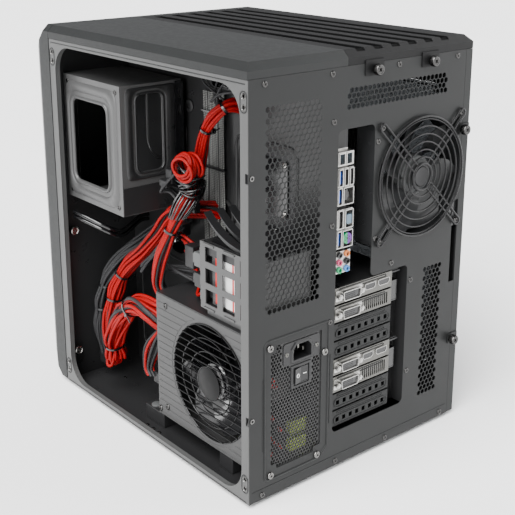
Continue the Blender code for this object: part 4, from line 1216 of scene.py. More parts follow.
# ---------------------------------------------------------------- inside of the drive chamber
def build_inner_shell():
    for name in ("floor_pan", "roof_pan", "front_plate", "motherboard_tray", "side_frame_left"):
        dress(name, STEEL_BLACK)
    trims = Form("x")
    for loop in (stadium((0.01, 0.41), (0.086, 0.41), 0.015),
                 rounded_rectangle(0.049, 0.249, 0.151, 0.351, 0.012),
                 rounded_rectangle(-0.088, 0.172, -0.045, 0.348, 0.012),
                 rounded_rectangle(-0.15, 0.03, -0.03, 0.155, 0.012)):
        bead(trims, loop, TRAY_X, 0.0014, 0.004)
    for y, z in ((-0.036, 0.369), (-0.02, 0.16), (-0.02, 0.06)):
        trims.turned(y, z, [(0.0075, TRAY_X), (0.0075, TRAY_X + 0.002), (0.0055, TRAY_X + 0.0032),
                            (0.003, TRAY_X + 0.0032), (0.003, TRAY_X + 0.001)], 28)
    make("tray_beads", trims, STEEL_BLACK, smooth=50)

    clips = Form("x")
    for y, z in ((-0.062, 0.408), (0.115, 0.415), (-0.108, 0.19), (-0.108, 0.135), (-0.03, 0.135)):
        arch = ((-0.006, 0.0), (-0.005, 0.004), (0.0, 0.0055), (0.005, 0.004), (0.006, 0.0))
        clips.tube([(TRAY_X + rise, y + along, z) for along, rise in arch], 0.0011, 6)
    make("tray_tie_points", clips, STEEL_BLACK, smooth=50)

    knobs = Form("y")
    for x, z in ((0.142, 0.205), (0.145, 0.045), (0.085, 0.15)):
        knurled_head(knobs, x, z, FRONT_WALL_Y - 0.0004)
    make("front_wall_thumbscrews", knobs, NICKEL, smooth=35)

    rivets = Form("z")
    for x, y in ((0.146, 0.0), (0.146, 0.012), (0.146, 0.024), (0.1, -0.12), (0.12, -0.03), (0.07, -0.12)):
        rivets.turned(x, y, [(0.0021, 0.0058), (0.0021, 0.0068), (0.0014, 0.0073)], 14)
    make("floor_rivets", rivets, DARK_NICKEL, smooth=40)


# ---------------------------------------------------------------- power supply
PSU_WALL = 0.0015


def psu_ribs(form):
    """Raised ribs on the fan's side, which stop at the fan's rim."""
    low, high = PSU_LOW, PSU_HIGH
    cy, cz = PSU_FAN.y, PSU_FAN.z
    pitch, tall, reach = 0.0081, 0.0066, 0.07
    y0, y1 = low.y + 0.003, high.y - 0.004
    for n in range(int((high.z - low.z - 0.006) / pitch)):
        z0 = low.z + 0.004 + pitch * n
        levels = [z0 + tall * k / 4 for k in range(5)]
        cuts = [math.sqrt(max(reach ** 2 - (z - cz) ** 2, 0.0)) for z in levels]
        if max(cuts) < 0.006:
            strips = [rectangle(y0, z0, y1, z0 + tall)]
        else:
            rim = list(zip(cuts, levels))
            strips = [[(y0, z0)] + [(cy - cut, z) for cut, z in rim] + [(y0, z0 + tall)],
                      [(y1, z0 + tall)] 
                      + [(min(cy + cut, y1 - 0.001), z) for cut, z in reversed(rim)] + [(y1, z0)]]
        for strip in strips:
            form.prism(strip, high.x - 0.0002, high.x + 0.0005)


def psu_case():
    low, high = PSU_LOW, PSU_HIGH
    back = high.y - PSU_WALL
    roof = high.z - PSU_WALL
    floor = low.z + PSU_WALL
    case = Form("x")
    case.slab(low, (high.x, back, floor))
    # Painted shade: the roof is the same grey steel as the sides, but takes the black steel so that the top
    # reads darker.
    case.paint(1)
    case.slab((low.x, low.y, roof), (high.x - 0.0004, back, high.z))
    case.paint(0)
    case.slab((low.x, low.y, floor), (low.x + PSU_WALL, back, roof))
    case.slab((low.x + PSU_WALL, low.y, floor), (high.x - PSU_WALL, low.y + PSU_WALL, roof))
    case.prism(rectangle(low.y, floor, back, roof), high.x - PSU_WALL, high.x,
               [circle(PSU_FAN.y, PSU_FAN.z, 0.0662, 80)])
    psu_ribs(case)
    make("psu_case", case, [PSU_GREY, STEEL_BLACK], stands_for=["psu_shell"], bevel=0.00035)


def psu_back():
    """The honeycombed rear plate, cut out for the mains inlet and the switch."""
    low, high = PSU_LOW, PSU_HIGH
    inner = high.y - PSU_WALL

    def clear(u, v):
        if abs(u - INLET.x) < 0.0262 and abs(v - INLET.z) < 0.0138:
            return False
        return not (abs(u - SWITCH.x) < 0.015 and abs(v - SWITCH.z) < 0.0138)

    def vents(form):
        return honeycomb(form, lattice(0.0606, 0.0335, 0.1292, 0.1735, 0.004, clear), 0.004, 0.00198, inner,
                         high.y)

    back = Form("y")
    cuts = [rectangle(at.x - half, at.z - rise, at.x + half, at.z + rise)
            for at, half, rise in ((INLET, 0.0146, 0.0107), (SWITCH, 0.0112, 0.009))]
    back.sheet([rectangle(low.x, low.z, high.x, high.z), *cuts], inner, high.y, vents)
    make("psu_back", back, PSU_GREY)


def psu_sockets():
    """The mains inlet with its pins and screws, and the frame round the rocker switch."""
    dress("psu_inlet", PLASTIC, 0.0004)
    dress("power_switch", PLASTIC, 0.0003)
    face = PSU_HIGH.y
    front = BOX["psu_inlet"][1].y
    x, z = INLET.x, INLET.z
    cavity = [(x - 0.0122, z - 0.0082), (x + 0.0122, z - 0.0082), (x + 0.0122, z + 0.003),
              (x + 0.008, z + 0.0082), (x - 0.008, z + 0.0082), (x - 0.0122, z + 0.003)]
    rim = Form("y")
    rim.hoop([(offset(cavity, 0.004), front - 0.0002), (offset(cavity, 0.0024), front + 0.001),
              (cavity, front + 0.001), (cavity, front - 0.0002)])
    rim.band(centred(SWITCH.x, SWITCH.z, 0.0284, 0.0256, 0.0012, 3),
             centred(SWITCH.x, SWITCH.z, 0.0212, 0.0206, 0.0008, 3),
             face - 0.0002, face + 0.0013)
    make("psu_rims", rim, PLASTIC, bevel=0.0003)

    metal = Form("y")
    for dx, dz in ((-0.007, -0.002), (0.007, -0.002), (0.0, 0.002)):
        metal.slab((x + dx - 0.0011, front - 0.0134, z + dz - 0.0021),
                   (x + dx + 0.0011, front - 0.0058, z + dz + 0.0021))
    for side in (-1, 1):
        screw_head(metal, x + side * 0.0205, z, front, 0.0024, 0.001)
    make("psu_inlet_metal", metal, BRACKET, smooth=40)


def switch_marks():
    """The circle and the line printed on the rocker, which rests tilted."""
    axis = Vector((SWITCH.x, REAR_Y - 0.0033, SWITCH.z))
    tilt = Matrix.Translation(axis) @ Matrix.Rotation(math.radians(7.0), 4, "Z") @ Matrix.Translation(-axis)

    def on_rocker(u, v):
        y = REAR_Y - 0.0017 + 0.0014 * abs(u) / 0.0098
        return tilt @ Vector((SWITCH.x + u, y + 0.0001, SWITCH.z + v))

    marks = Form("y")
    marks.tube([on_rocker(u, v) for u, v in circle(0.0052, 0.0, 0.002, 24)], 0.00032, 6, closed=True)
    marks.tube([on_rocker(-0.003, 0), on_rocker(-0.0072, 0)], 0.0004, 6)
    make("switch_marks", marks, LABEL, body="power_switch")


def psu_guard():
    """Three rings and sixteen straight wires over the fan, with a cap at the middle."""
    x = PSU_HIGH.x
    cy, cz = PSU_FAN.y, PSU_FAN.z
    radius, count = 0.0655, 16
    wires = Form("x")
    for ring, thick in ((radius, 0.001), (0.05, 0.0008), (0.035, 0.0008)):
        wires.loop_wire(circle(cy, cz, ring, 72), x + 0.0004, thick)
    for n in range(count):
        dz = -radius + 2 * radius * (n + 0.5) / count
        half = math.sqrt(radius ** 2 - dz ** 2)
        wires.tube([(x + 0.0016, cy - half, cz + dz), (x + 0.0016, cy + half, cz + dz)], 0.0008, 6)
    make("psu_guard_wires", wires, GRILL_WIRE, stands_for=["psu_fan_guard"], smooth=50)
    hub = Form("x")
    hub.turned(cy, cz,
               [(0.0185, x + 0.0012), (0.0185, x + 0.0024), (0.0175, x + 0.003), (0.002, x + 0.0032)], 48)
    hub.paint(1)
    hub.loop_wire(circle(cy, cz, 0.0188, 60), x + 0.0024, 0.0007)
    make("psu_guard_hub", hub, [HUB_BLACK, GRILL_WIRE], smooth=40)
    screws("psu_side_screws", "x", ((0.032, 0.164), (0.194, 0.164), (0.032, 0.04), (0.018, 0.033)),
           x + 0.0004, 0.0036, 0.0014, DARK_NICKEL)


def psu_circuit():
    """What shows through the grilles: a board with capacitors, blocks, coils, fins and wire ends."""
    face = 0.058
    inside = Form("z")
    inside.slab((0.056, 0.018, 0.03), (face, 0.195, 0.172))
    inside.paint(1)
    for y, z in ((0.15, 0.06), (0.15, 0.075), (0.165, 0.06), (0.06, 0.06), (0.075, 0.125)):
        inside.tube([(face, y, z), (0.086, y, z)], 0.0062, 16)
    inside.paint(2)
    inside.slab((face, 0.1, 0.04), (0.09, 0.135, 0.07))
    inside.slab((face, 0.14, 0.088), (0.096, 0.17, 0.118))
    inside.paint(3)
    for z in (0.046, 0.066):
        inside.slab((0.073, 0.187, z - 0.007), (0.095, 0.194, z + 0.007))
    inside.paint(4)
    for k in range(9):
        inside.slab((face, 0.03 + 0.006 * k, 0.08), (0.094, 0.032 + 0.006 * k, 0.11))
    inside.paint(5)
    for x, z in ((0.118, 0.129), (0.121, 0.124), (0.115, 0.121), (0.119, 0.086), (0.122, 0.064),
                 (0.116, 0.058), (0.108, 0.07), (0.12, 0.045), (0.108, 0.05), (0.068, 0.13)):
        inside.slab((x - 0.0014, 0.19, z - 0.0022), (x + 0.0014, 0.194, z + 0.0022))
    make("psu_circuit", inside, [BOARD, GLOSS, PLASTIC, GREEN_BOARD, FIN, LABEL_RED], smooth=35)


def psu_stand():
    """The folded legs that the supply stands on, and their soft pads."""
    legs = Form("z")
    legs.slab((0.062, -0.018, 0.0062), (0.136, 0.02, 0.024))
    legs.slab((0.062, 0.125, 0.0062), (0.136, 0.148, 0.025))
    make("psu_supports", legs, STEEL_BLACK, bevel=0.0008)
    pads = Form("z")
    for y in (-0.006, 0.136):
        for x in (0.128, 0.08):
            pads.turned(x, y, [(0.0065, 0.024), (0.0065, 0.025), (0.0048, 0.0258)], 24)
    make("psu_pads", pads, FAN_GREY, smooth=40)


def psu_outlets():
    """The cable sockets on the supply's inner end."""
    panel = Form("y")
    y = PSU_LOW.y
    for row, z in enumerate((0.145, 0.127, 0.1, 0.075, 0.05)):
        for column in range(3 if row else 1):
            x = 0.112 - 0.022 * column
            panel.slab((x - 0.0095, y - 0.006, z - 0.006), (x + 0.0095, y + 0.0002, z + 0.006))
    make("psu_outlets", panel, PLASTIC, bevel=0.0005)


def build_psu():
    psu_case()
    psu_back()
    psu_sockets()
    switch_marks()
    psu_guard()
    psu_circuit()
    psu_stand()
    psu_outlets()


# ---------------------------------------------------------------- drive cages
def pad(form, outer, inner, w, height, slope):
    """A raised flat area between two loops, with sloping sides."""
    rings = [form.ring(outer, w - 0.0002), form.ring(offset(outer, -slope), w + height),
             form.ring(offset(inner, slope), w + height), form.ring(inner, w - 0.0002)]
    form.wall(rings[0], rings[1])
    form.wall(rings[2], rings[3])
    form.fill(rings[1], rings[2])
    form.fill(rings[0], rings[3])


def build_drive_cage():
    low, high = CAGE_LOW, CAGE_HIGH
    dress("drive_cage", CAGE_GREY, 0.0008, 3)
    side = Form("x")
    window = rounded_rectangle(-0.143, 0.276, -0.068, 0.374, 0.0095)
    pad(side, rounded_rectangle(low.y + 0.005, low.z + 0.006, high.y - 0.008, high.z - 0.006, 0.014),
        offset(window, 0.009), high.x, 0.0016, 0.0016)
    bead(side, offset(window, 0.0022), high.x, 0.0022, 0.0042)
    make("drive_cage_relief", side, CAGE_GREY, smooth=50)

    # Painted shade: the end facing +Y is the same grey sheet as the side, but its relief and strip take the
    # black steel for the shade on that face.
    end = Form("y")
    hole = rounded_rectangle(0.087, 0.3, 0.122, 0.389, 0.0075)
    pad(end, rounded_rectangle(low.x + 0.006, low.z + 0.04, high.x - 0.006, high.z - 0.003, 0.008),
        offset(hole, 0.005), high.y, 0.0014, 0.0014)
    bead(end, offset(hole, 0.0015), high.y, 0.0018, 0.003)
    end.slab((low.x + 0.001, high.y - 0.0002, low.z + 0.001),
             (high.x - 0.001, high.y + 0.0004, low.z + 0.033))
    make("drive_cage_end", end, STEEL_BLACK, smooth=50)

    # Painted shade: the back wall's inner face, seen through the window, takes the black steel for the shade
    # inside the cage.
    back = Form("x")
    wall = low.x + 0.0012
    bead(back, stadium((-0.09, 0.32), (-0.09, 0.365), 0.02, 14), wall, 0.002, 0.005)
    back.slab((wall, low.y + 0.01, low.z + 0.01), (wall + 0.0004, high.y - 0.01, high.z - 0.01))
    make("drive_cage_back_relief", back, STEEL_BLACK, smooth=50)

    strip = Form("y")
    x0, y0 = low.x - 0.001, high.y + 0.002
    holes = [stadium((x0 + 0.006, z), (x0 + 0.006, z + 0.008), 0.0016) for z in (0.362, 0.382)]
    strip.prism(rounded_rectangle(x0, 0.286, x0 + 0.012, 0.4, 0.003), y0, y0 + 0.0014, holes)
    make("drive_cage_strip", strip, GLOSS, bevel=0.0003)
    screws("drive_cage_screws", "x", [(y, z) for z in (0.26, 0.393) for y in (-0.153, -0.049)], high.x,
           0.0028, 0.0012, DARK_NICKEL)


def tray_lever(node, y0, y1, top):
    """A drive's tray: a sill, two side frames and the sprung lever that pulls it out."""
    a, b = BOX[node]
    mid = (a.x + b.x) / 2
    tray = Form("x")
    tray.prism(rectangle(y0, a.z, y1, a.z + 0.003), a.x, b.x)
    for x in (a.x, b.x - 0.0018):
        tray.prism([(y0, a.z + 0.003), (y0 + 0.004, a.z + 0.003), (y0 + 0.004, top - 0.012),
                    (y1 - 0.004, top - 0.012), (y1 - 0.004, a.z + 0.003), (y1, a.z + 0.003),
                    (y1, top + 0.003), (y0, top + 0.003)],
                   x, x + 0.0018)
    steps = [k / 16 for k in range(17)]
    root = y0 + 0.094
    upper = [(root - 0.096 * t, top + 0.005 + 0.027 * t ** 3.2) for t in steps]
    lower = [(root - 0.0915 * t, top + 0.001 + 0.027 * t ** 3.6) for t in steps[:0:-1]]
    tray.prism([(root, top + 0.001), (root, top + 0.0045), *upper, *lower], mid - 0.005, mid + 0.005)
    make(f"{node}_lever", tray, PLASTIC, body=node, stands_for=[node], bevel=0.0004)


def solid_state_drive(name, node, y0, y1, top):
    """A drive in its tray: its case, a white label with red bars, and its connector."""
    a, b = BOX[node]
    x0, x1 = a.x + 0.003, b.x - 0.003
    base = a.z + 0.006
    drive = Form("x")
    drive.prism(rectangle(y0 + 0.01, a.z + 0.0035, y1 - 0.006, top - 0.002), x0, x1)
    drive.paint(1)
    drive.prism(rectangle(y0 + 0.016, base, y1 - 0.01, top - 0.006), x1 - 0.0001, x1 + 0.0003)
    drive.paint(2)
    for y in (y0 + 0.016, y0 + 0.044, y0 + 0.07):
        drive.prism(rectangle(y, base, y + 0.0026, top - 0.006), x1 + 0.0002, x1 + 0.0005)
    drive.paint(3)
    drive.slab((x0, y0 + 0.005, a.z + 0.01), (x1, y0 + 0.01, a.z + 0.05))
    make(name, drive, [CAGE_GREY, LABEL, LABEL_RED, PLASTIC], body=node, bevel=0.0003)


def drive_plugs():
    """A data plug and a power plug behind each drive."""
    y = SSD_LOW.y - 0.001
    plugs = Form("z")
    for n in range(4):
        x = SSD_LOW.x + 0.012 + 0.016 * n
        for mark, z in enumerate((0.233, 0.21)):
            plugs.paint(mark)
            plugs.slab((x - 0.0035, y - 0.015, z - 0.008), (x + 0.0035, y, z + 0.008))
            plugs.slab((x - 0.0022, y - 0.019, z - 0.0055), (x + 0.0022, y - 0.015, z + 0.0055))
    make("ssd_plugs", plugs, [FAN_GREY, PLASTIC], bevel=0.0006)


def build_ssd_cage():
    low, high = SSD_LOW, SSD_HIGH
    dress("ssd_cage", CAGE_GREY, 0.0004)
    folds = Form("x")
    for z in (low.z + 0.0004, high.z - 0.0026):
        for y in (low.y + 0.006, low.y + 0.04, low.y + 0.074):
            folds.slab((high.x - 0.0002, y, z), (high.x + 0.0012, y + 0.018, z + 0.0022))
    for x in (low.x + 0.004, high.x - 0.006):
        folds.slab((x, low.y + 0.006, low.z - 0.0078), (x + 0.002, high.y - 0.006, low.z))
    for n in range(4):
        z = low.z + 0.008 + 0.016 * n
        folds.slab((high.x - 0.006, low.y - 0.0014, z), (high.x - 0.0002, low.y + 0.0002, z + 0.01))
    make("ssd_cage_folds", folds, CAGE_GREY, bevel=0.0004)
    y0, y1, top = low.y + 0.003, high.y - 0.003, high.z - 0.002
    for n in range(1, 5):
        tray_lever(f"ssd_tray_{n}", y0, y1, top)
        solid_state_drive(f"ssd_{n}", f"ssd_tray_{n}", y0, y1, top)
    drive_plugs()


# ---------------------------------------------------------------- cables
ATX_ROUTE = [(0.0515, 0.0750, 0.3800), (0.0660, 0.0780, 0.3880), (0.0800, 0.0760, 0.3880),
             (0.0890, 0.0660, 0.3770), (0.0900, 0.0510, 0.3570), (0.0860, 0.0380, 0.3300),
             (0.0850, 0.0300, 0.3060), (0.0920, 0.0300, 0.2890), (0.1040, 0.0300, 0.2740),
             (0.1140, 0.0260, 0.2560), (0.1200, 0.0190, 0.2350), (0.1230, 0.0100, 0.2130),
             (0.1230, 0.0030, 0.1920), (0.1210, -0.0010, 0.1750), (0.1170, 0.0040, 0.1600),
             (0.1160, 0.0100, 0.1580), (0.1160, 0.0180, 0.1580)]
CHARCOAL_ROUTE = [(0.0660, -0.0220, 0.2430), (0.0680, -0.0520, 0.2220), (0.0780, -0.0860, 0.1980),
                  (0.0940, -0.1160, 0.1720), (0.1080, -0.1340, 0.1400), (0.1140, -0.1400, 0.1050),
                  (0.1140, -0.1430, 0.0700), (0.1080, -0.1430, 0.0380)]
RED_TAIL = [(0.0530, 0.0270, 0.2540), (0.0640, 0.0200, 0.2575)]
RED_ROUTE = [(0.0880, -0.0120, 0.2520), (0.0940, -0.0360, 0.2220), (0.1000, -0.0610, 0.1940),
             (0.1060, -0.0890, 0.1680), (0.1120, -0.1070, 0.1380), (0.1160, -0.1130, 0.1080),
             (0.1160, -0.1180, 0.0780), (0.1120, -0.1190, 0.0480)]
PSU_ROUTE = [(0.1210, 0.0172, 0.1350), (0.1210, 0.0080, 0.1350), (0.1265, -0.0080, 0.1405),
             (0.1295, -0.0330, 0.1410), (0.1305, -0.0580, 0.1260), (0.1305, -0.0780, 0.1020),
             (0.1290, -0.0910, 0.0760), (0.1240, -0.0960, 0.0520)]
LEADS_ROUTE = [(0.1420, -0.1500, 0.2270), (0.1360, -0.1300, 0.2230), (0.1270, -0.1120, 0.2170),
               (0.1140, -0.1060, 0.2090), (0.0980, -0.1120, 0.2030), (0.0800, -0.1200, 0.2060),
               (0.0620, -0.1250, 0.2120), (0.0507, -0.1250, 0.2120)]


def smooth_route(route, samples):
    """Points on a Catmull-Rom curve through a route, in the frame's place."""
    points = [Vector(p) + Vector((0, ROUTE_Y, 0)) for p in route]
    ends = [points[0] * 2 - points[1], *points, points[-1] * 2 - points[-2]]
    out = []
    for i in range(1, len(ends) - 2):
        p0, p1, p2, p3 = ends[i - 1:i + 3]
        for k in range(samples):
            t = k / samples
            out.append(0.5 * (2 * p1 + (p2 - p0) * t + (2 * p0 - 5 * p1 + 4 * p2 - p3) * t ** 2
                              + (3 * p1 - p0 - 3 * p2 + p3) * t ** 3))
    out.append(points[-1])
    return out


GOLDEN_ANGLE = 2.39996
TWIST = 1.2                                      # how far a loom's wires turn round it on the way, in radians
SLEEVES = [RED, CHARCOAL]
TIES = {"atx": (0.14, 0.24, 0.45, 0.6), "charcoal": (0.62, 0.75), "red": (0.61, 0.74), "psu": (0.52, 0.9)}


def bundle(name, node, route, radius, strands, thick, colours, ties, seed, loosen,
           samples=7):
    """Sleeved wires that run side by side along a route, pulled together where they are tied."""
    rng = random.Random(seed)
    centre = smooth_route(route, samples)
    count = len(centre)
    frames = []
    normal = (centre[1] - centre[0]).orthogonal().normalized()
    for i in range(count):
        tangent = (centre[min(i + 1, count - 1)] - centre[max(i - 1, 0)]).normalized()
        normal = (normal - tangent * normal.dot(tangent)).normalized()
        frames.append((normal.copy(), tangent.cross(normal)))
    form = Form()
    for n in range(strands):
        form.paint(colours[n % len(colours)])
        r = (radius - thick) * math.sqrt((n + 0.5) / strands)
        start = n * GOLDEN_ANGLE
        phase = rng.uniform(0, math.tau)
        wander = rng.uniform(0.3, 0.8) * thick * 0.5
        path = []
        for i, (point, (a, b)) in enumerate(zip(centre, frames)):
            t = i / (count - 1)
            pull = min([1.0] + [0.72 + 4.2 * abs(t - tie) for tie in ties])
            spread = 1.0 + loosen * math.sin(math.pi * 3 * t + phase) * pull
            angle = start + TWIST * t + 0.35 * math.sin(phase + 5 * t)
            u = math.cos(angle) * r * spread * pull
            v = math.sin(angle) * r * spread * pull
            u += wander * math.sin(phase + 13 * t) * pull
            v += wander * math.cos(phase * 2 + 11 * t) * pull
            path.append(point + a * u + b * v)
        form.tube(path, thick, 7)
    make(name, form, SLEEVES, stands_for=[node], smooth=60)
    return centre


def tie_at(form, centre, t, radius):
    i = int(t * (len(centre) - 1))
    zip_tie(form, centre[i], centre[i + 1] - centre[i], radius)


def coil(form, centre, across, up, turns, step, thick, jitter, rng):
    """Loose turns of one wire, a step apart. Half their width is across, and half their height is up."""
    side = across.cross(up).normalized()
    for n in range(turns):
        middle = centre + side * step * (n - (turns - 1) / 2)
        lean = rng.uniform(-jitter, jitter)
        grow = rng.uniform(0.88, 1.08)
        ring = []
        for k in range(28):
            a = math.tau * k / 28
            ring.append(middle + across * math.cos(a) * grow + up * math.sin(a) * grow
                        + side * (lean * math.sin(a + n) + 0.15 * step * math.cos(3 * a)))
        form.tube(ring, thick, 8, closed=True)


def build_spare_loop(line):
    """The spare length of the board's own loom, folded into a hank and bound in black."""
    rng = random.Random(5)
    loops = Form()
    for n in range(7):
        tilt = rng.uniform(-0.3, 0.3)
        middle = Vector((0.103 + 0.0026 * n, 0.04 + rng.uniform(-0.003, 0.003),
                         0.3205 + rng.uniform(-0.003, 0.003)))
        across = Vector((0.004 * tilt, 0.015 * math.cos(tilt), 0.015 * math.sin(tilt) + 0.004))
        up = Vector((0.005 * tilt, -0.0115 * math.sin(tilt) - 0.003, 0.0125 * math.cos(tilt)))
        coil(loops, middle, across, up, 1, 0.003, 0.0018, 0.003, rng)
    make("spare_loop_wires", loops, RED, stands_for=["spare_loop_cable"], smooth=60)
    wraps = Form()
    for n in range(16):
        middle = Vector((0.101 + rng.uniform(-0.002, 0.003), 0.032 + rng.uniform(-0.003, 0.003),
                         0.293 + 0.0015 * n))
        coil(wraps, middle, Vector((0.0125, rng.uniform(-0.003, 0.003), rng.uniform(-0.008, 0.008))),
             Vector((rng.uniform(-0.003, 0.003), 0.014, rng.uniform(-0.009, 0.009))), 1, 0.002, 0.0011,
             0.003, rng)
    spread = [point for point in line if 0.257 < point.z < 0.3]
    for n in range(18):
        a = math.tau * n / 18 + rng.uniform(-0.12, 0.12)
        path = []
        for i, point in enumerate(spread):
            r = 0.0098 + 0.0042 * math.sin(math.pi * i / (len(spread) - 1))
            path.append(point + Vector((math.cos(a) * r, math.sin(a) * r, 0)))
        wraps.tube(path, 0.001, 6)
    make("loom_wraps", wraps, GLOSS, smooth=60)


def build_looms():
    """The red and charcoal looms, with their ties and the coil that ends the supply's own."""
    atx = bundle("atx_wires", "atx_cable", ATX_ROUTE, 0.0088, 18, 0.0019, [0, 0, 0, 0, 1, 0, 0, 1, 0, 0],
                 TIES["atx"], 3, 0.08, samples=5)
    build_spare_loop(atx)
    charcoal = bundle("charcoal_wires", "charcoal_loom", CHARCOAL_ROUTE, 0.0118, 20, 0.0019, [1],
                      TIES["charcoal"], 7, 0.22)
    red = bundle("red_wires", "red_loom", RED_TAIL + RED_ROUTE, 0.0112, 20, 0.0019, [0, 0, 0, 0, 0, 1, 0, 0],
                 TIES["red"], 9, 0.14)
    psu = bundle("psu_wires", "psu_loom", PSU_ROUTE, 0.0148, 27, 0.0022, [0, 0, 0, 0, 0, 0, 1, 0],
                 TIES["psu"], 11, 0.12)
    ties = Form()
    for line, places, radius in ((atx, TIES["atx"][:2], 0.007), (atx, TIES["atx"][2:], 0.0074),
                                 (red, TIES["red"], 0.0088), (charcoal, TIES["charcoal"], 0.0084),
                                 (psu, TIES["psu"], 0.011)):
        for t in places:
            tie_at(ties, line, t, radius)
    end = Form()
    coil(end, Vector((0.126, -0.101, 0.05)), Vector((0, 0.0075, 0.002)), Vector((0, 0, 0.0095)),
         4, 0.004, 0.002, 0.002, random.Random(4))
    make("psu_loom_end", end, RED, smooth=60)
    make("cable_ties", ties, GLOSS, smooth=40)


def build_loom_ends():
    """The grommet that the red loom comes through, and the charcoal loom's plug."""
    grommet = Form("x")
    grommet.loop_wire(circle(0.0285, 0.2535, 0.0165, 40), TRAY_X + 0.0012, 0.0024)
    grommet.paint(1)
    grommet.prism(circle(0.0285, 0.2535, 0.016, 40), TRAY_X, TRAY_X + 0.0008)
    make("loom_grommet", grommet, [RUBBER, SHADE_AND_MEMBRANE_BLACK], smooth=50)
    plug = Form("z")
    x, y, z = CHARCOAL_ROUTE[-1]
    plug.slab((x - 0.0105, y - 0.0075, z - 0.013), (x + 0.0105, y + 0.0075, z + 0.0015))
    plug.slab((x - 0.003, y + 0.007, z - 0.01), (x + 0.003, y + 0.009, z - 0.002))
    make("charcoal_plug", plug, PLASTIC, bevel=0.0006)


def build_front_leads():
    leads = Form()
    centre = smooth_route(LEADS_ROUTE, 6)
    for lift, thick in ((0.0028, 0.0027), (-0.003, 0.0024)):
        leads.tube([p + Vector((0, 0, lift)) for p in centre], thick, 12)
    make("front_panel_lead_pair", leads, GLOSS, stands_for=["front_panel_leads"],
         smooth=60)


def build_ribbons():
    """Four flat data cables side by side, slightly waved, under two straps."""
    low, high = BOX["sata_cables"]
    ribbons = Form("x")
    width = (high.y - low.y) / 4
    steps = 24
    for n in range(4):
        y0 = low.y + width * n + 0.0004
        y1 = low.y + width * (n + 1) - 0.0004
        rows = []
        for k in range(steps + 1):
            t = k / steps
            z = low.z + (high.z - low.z) * t
            x = (low.x + high.x) / 2 + 0.0007 * math.sin(7 * t + n)
            shape = [(x - 0.0006, y0), (x + 0.0004, y0 + 0.0004), (x + 0.001, (y0 + y1) / 2),
                     (x + 0.0004, y1 - 0.0004), (x - 0.0006, y1)]
            rows.append([ribbons.vert((u, v, z)) for u, v in shape])
        ribbons.hull(rows)
    make("sata_ribbons", ribbons, RIBBON, stands_for=["sata_cables"], smooth=50)
    strap = Form("z")
    for z in (0.3055, 0.369):
        strap.slab((low.x - 0.0006, low.y - 0.0012, z), (high.x + 0.0014, high.y + 0.0012, z + 0.0028))
    make("ribbon_straps", strap, GLOSS, bevel=0.0005)


LOOSE_SLEEVES = [CHARCOAL, RED]
IN_CHARCOAL, IN_RED = 0, 1
# Half the thickness of each lead near the roof, and the points it runs through.
ROOF_LEADS = (
    (0.0013, ((0.06, 0.06, 0.425), (0.064, 0.04, 0.41), (0.06, 0.03, 0.385), (0.062, 0.045, 0.372))),
    (0.0013, ((0.06, 0.012, 0.43), (0.068, 0.02, 0.408), (0.066, 0.045, 0.395), (0.06, 0.066, 0.38))),
    (0.0015, ((0.07, 0.085, 0.425), (0.078, 0.07, 0.412), (0.08, 0.06, 0.4), (0.074, 0.055, 0.38))),
    (0.0015, ((0.08, 0.12, 0.424), (0.086, 0.1, 0.41), (0.09, 0.08, 0.402), (0.092, 0.066, 0.392))))
# Low and high corners of the connectors on the loose wires.
LOOM_PLUGS = (((0.094, 0.0, 0.296), (0.112, 0.012, 0.312)), ((0.1, 0.034, 0.206), (0.112, 0.05, 0.232)),
              ((0.086, 0.01, 0.262), (0.094, 0.03, 0.274)), ((0.106, -0.004, 0.292), (0.118, 0.01, 0.3)),
              ((0.084, -0.01, 0.23), (0.096, 0.008, 0.244)),
              ((0.112, -0.018, 0.048), (0.124, -0.006, 0.062)))


def loose_runs():
    """Points, colour and half the thickness of each short wire between the looms."""
    runs = [(points, IN_CHARCOAL, thick) for thick, points in ROOF_LEADS]
    for n in range(7):
        x = 0.096 + 0.003 * n
        runs.append(([(x, 0.014 + 0.003 * n, 0.312), (x + 0.006, 0.006, 0.3 - 0.002 * n),
                      (x - 0.004, 0.01, 0.284), (x - 0.01, 0.024, 0.268)], IN_CHARCOAL, 0.0016))
    for n in range(6):
        z = 0.236 - 0.008 * n
        runs.append(([(0.084 + 0.008 * n, 0.086, z - 0.004), (0.086 + 0.006 * n, 0.066, z - 0.012),
                      (0.096, 0.044, z - 0.01), (0.104 - 0.003 * n, 0.018, z + 0.004)], IN_RED, 0.0018))
    for n in range(6):
        y = 0.08 - 0.01 * n
        runs.append(([(0.082 + 0.006 * n, 0.084, 0.205 - 0.004 * n), (0.092, y * 0.7, 0.184 + 0.002 * n),
                      (0.106, 0.01 - 0.004 * n, 0.19), (0.112, -0.02, 0.21 - 0.004 * n)],
                     IN_CHARCOAL, 0.0018))
    for n in range(5):
        runs.append(([(0.104 + 0.003 * n, 0.026, 0.246), (0.104, 0.0, 0.226 + 0.003 * n),
                      (0.1, -0.03, 0.206), (0.108, -0.056, 0.17 + 0.002 * n)], IN_CHARCOAL, 0.0017))
    return runs


def outlet_wires():
    """The wires that spread below the power supply's outlets."""
    spray = Form()
    for n in range(9):
        a = math.tau * n / 9
        top = Vector((0.124, 0.01, 0.128))
        low = Vector((0.124 + 0.005 * math.cos(a), -0.022 + 0.006 * math.sin(a), 0.066))
        mid = (top + low) / 2 + Vector((0.006 * math.cos(a), 0.007 * math.sin(a) - 0.004, 0))
        spray.paint(IN_CHARCOAL if n % 3 else IN_RED)
        spray.tube(smooth_route([top, mid, low, low + Vector((0, 0.006, -0.01))], 6), 0.0018, 7)
    make("outlet_wires", spray, LOOSE_SLEEVES, smooth=60)


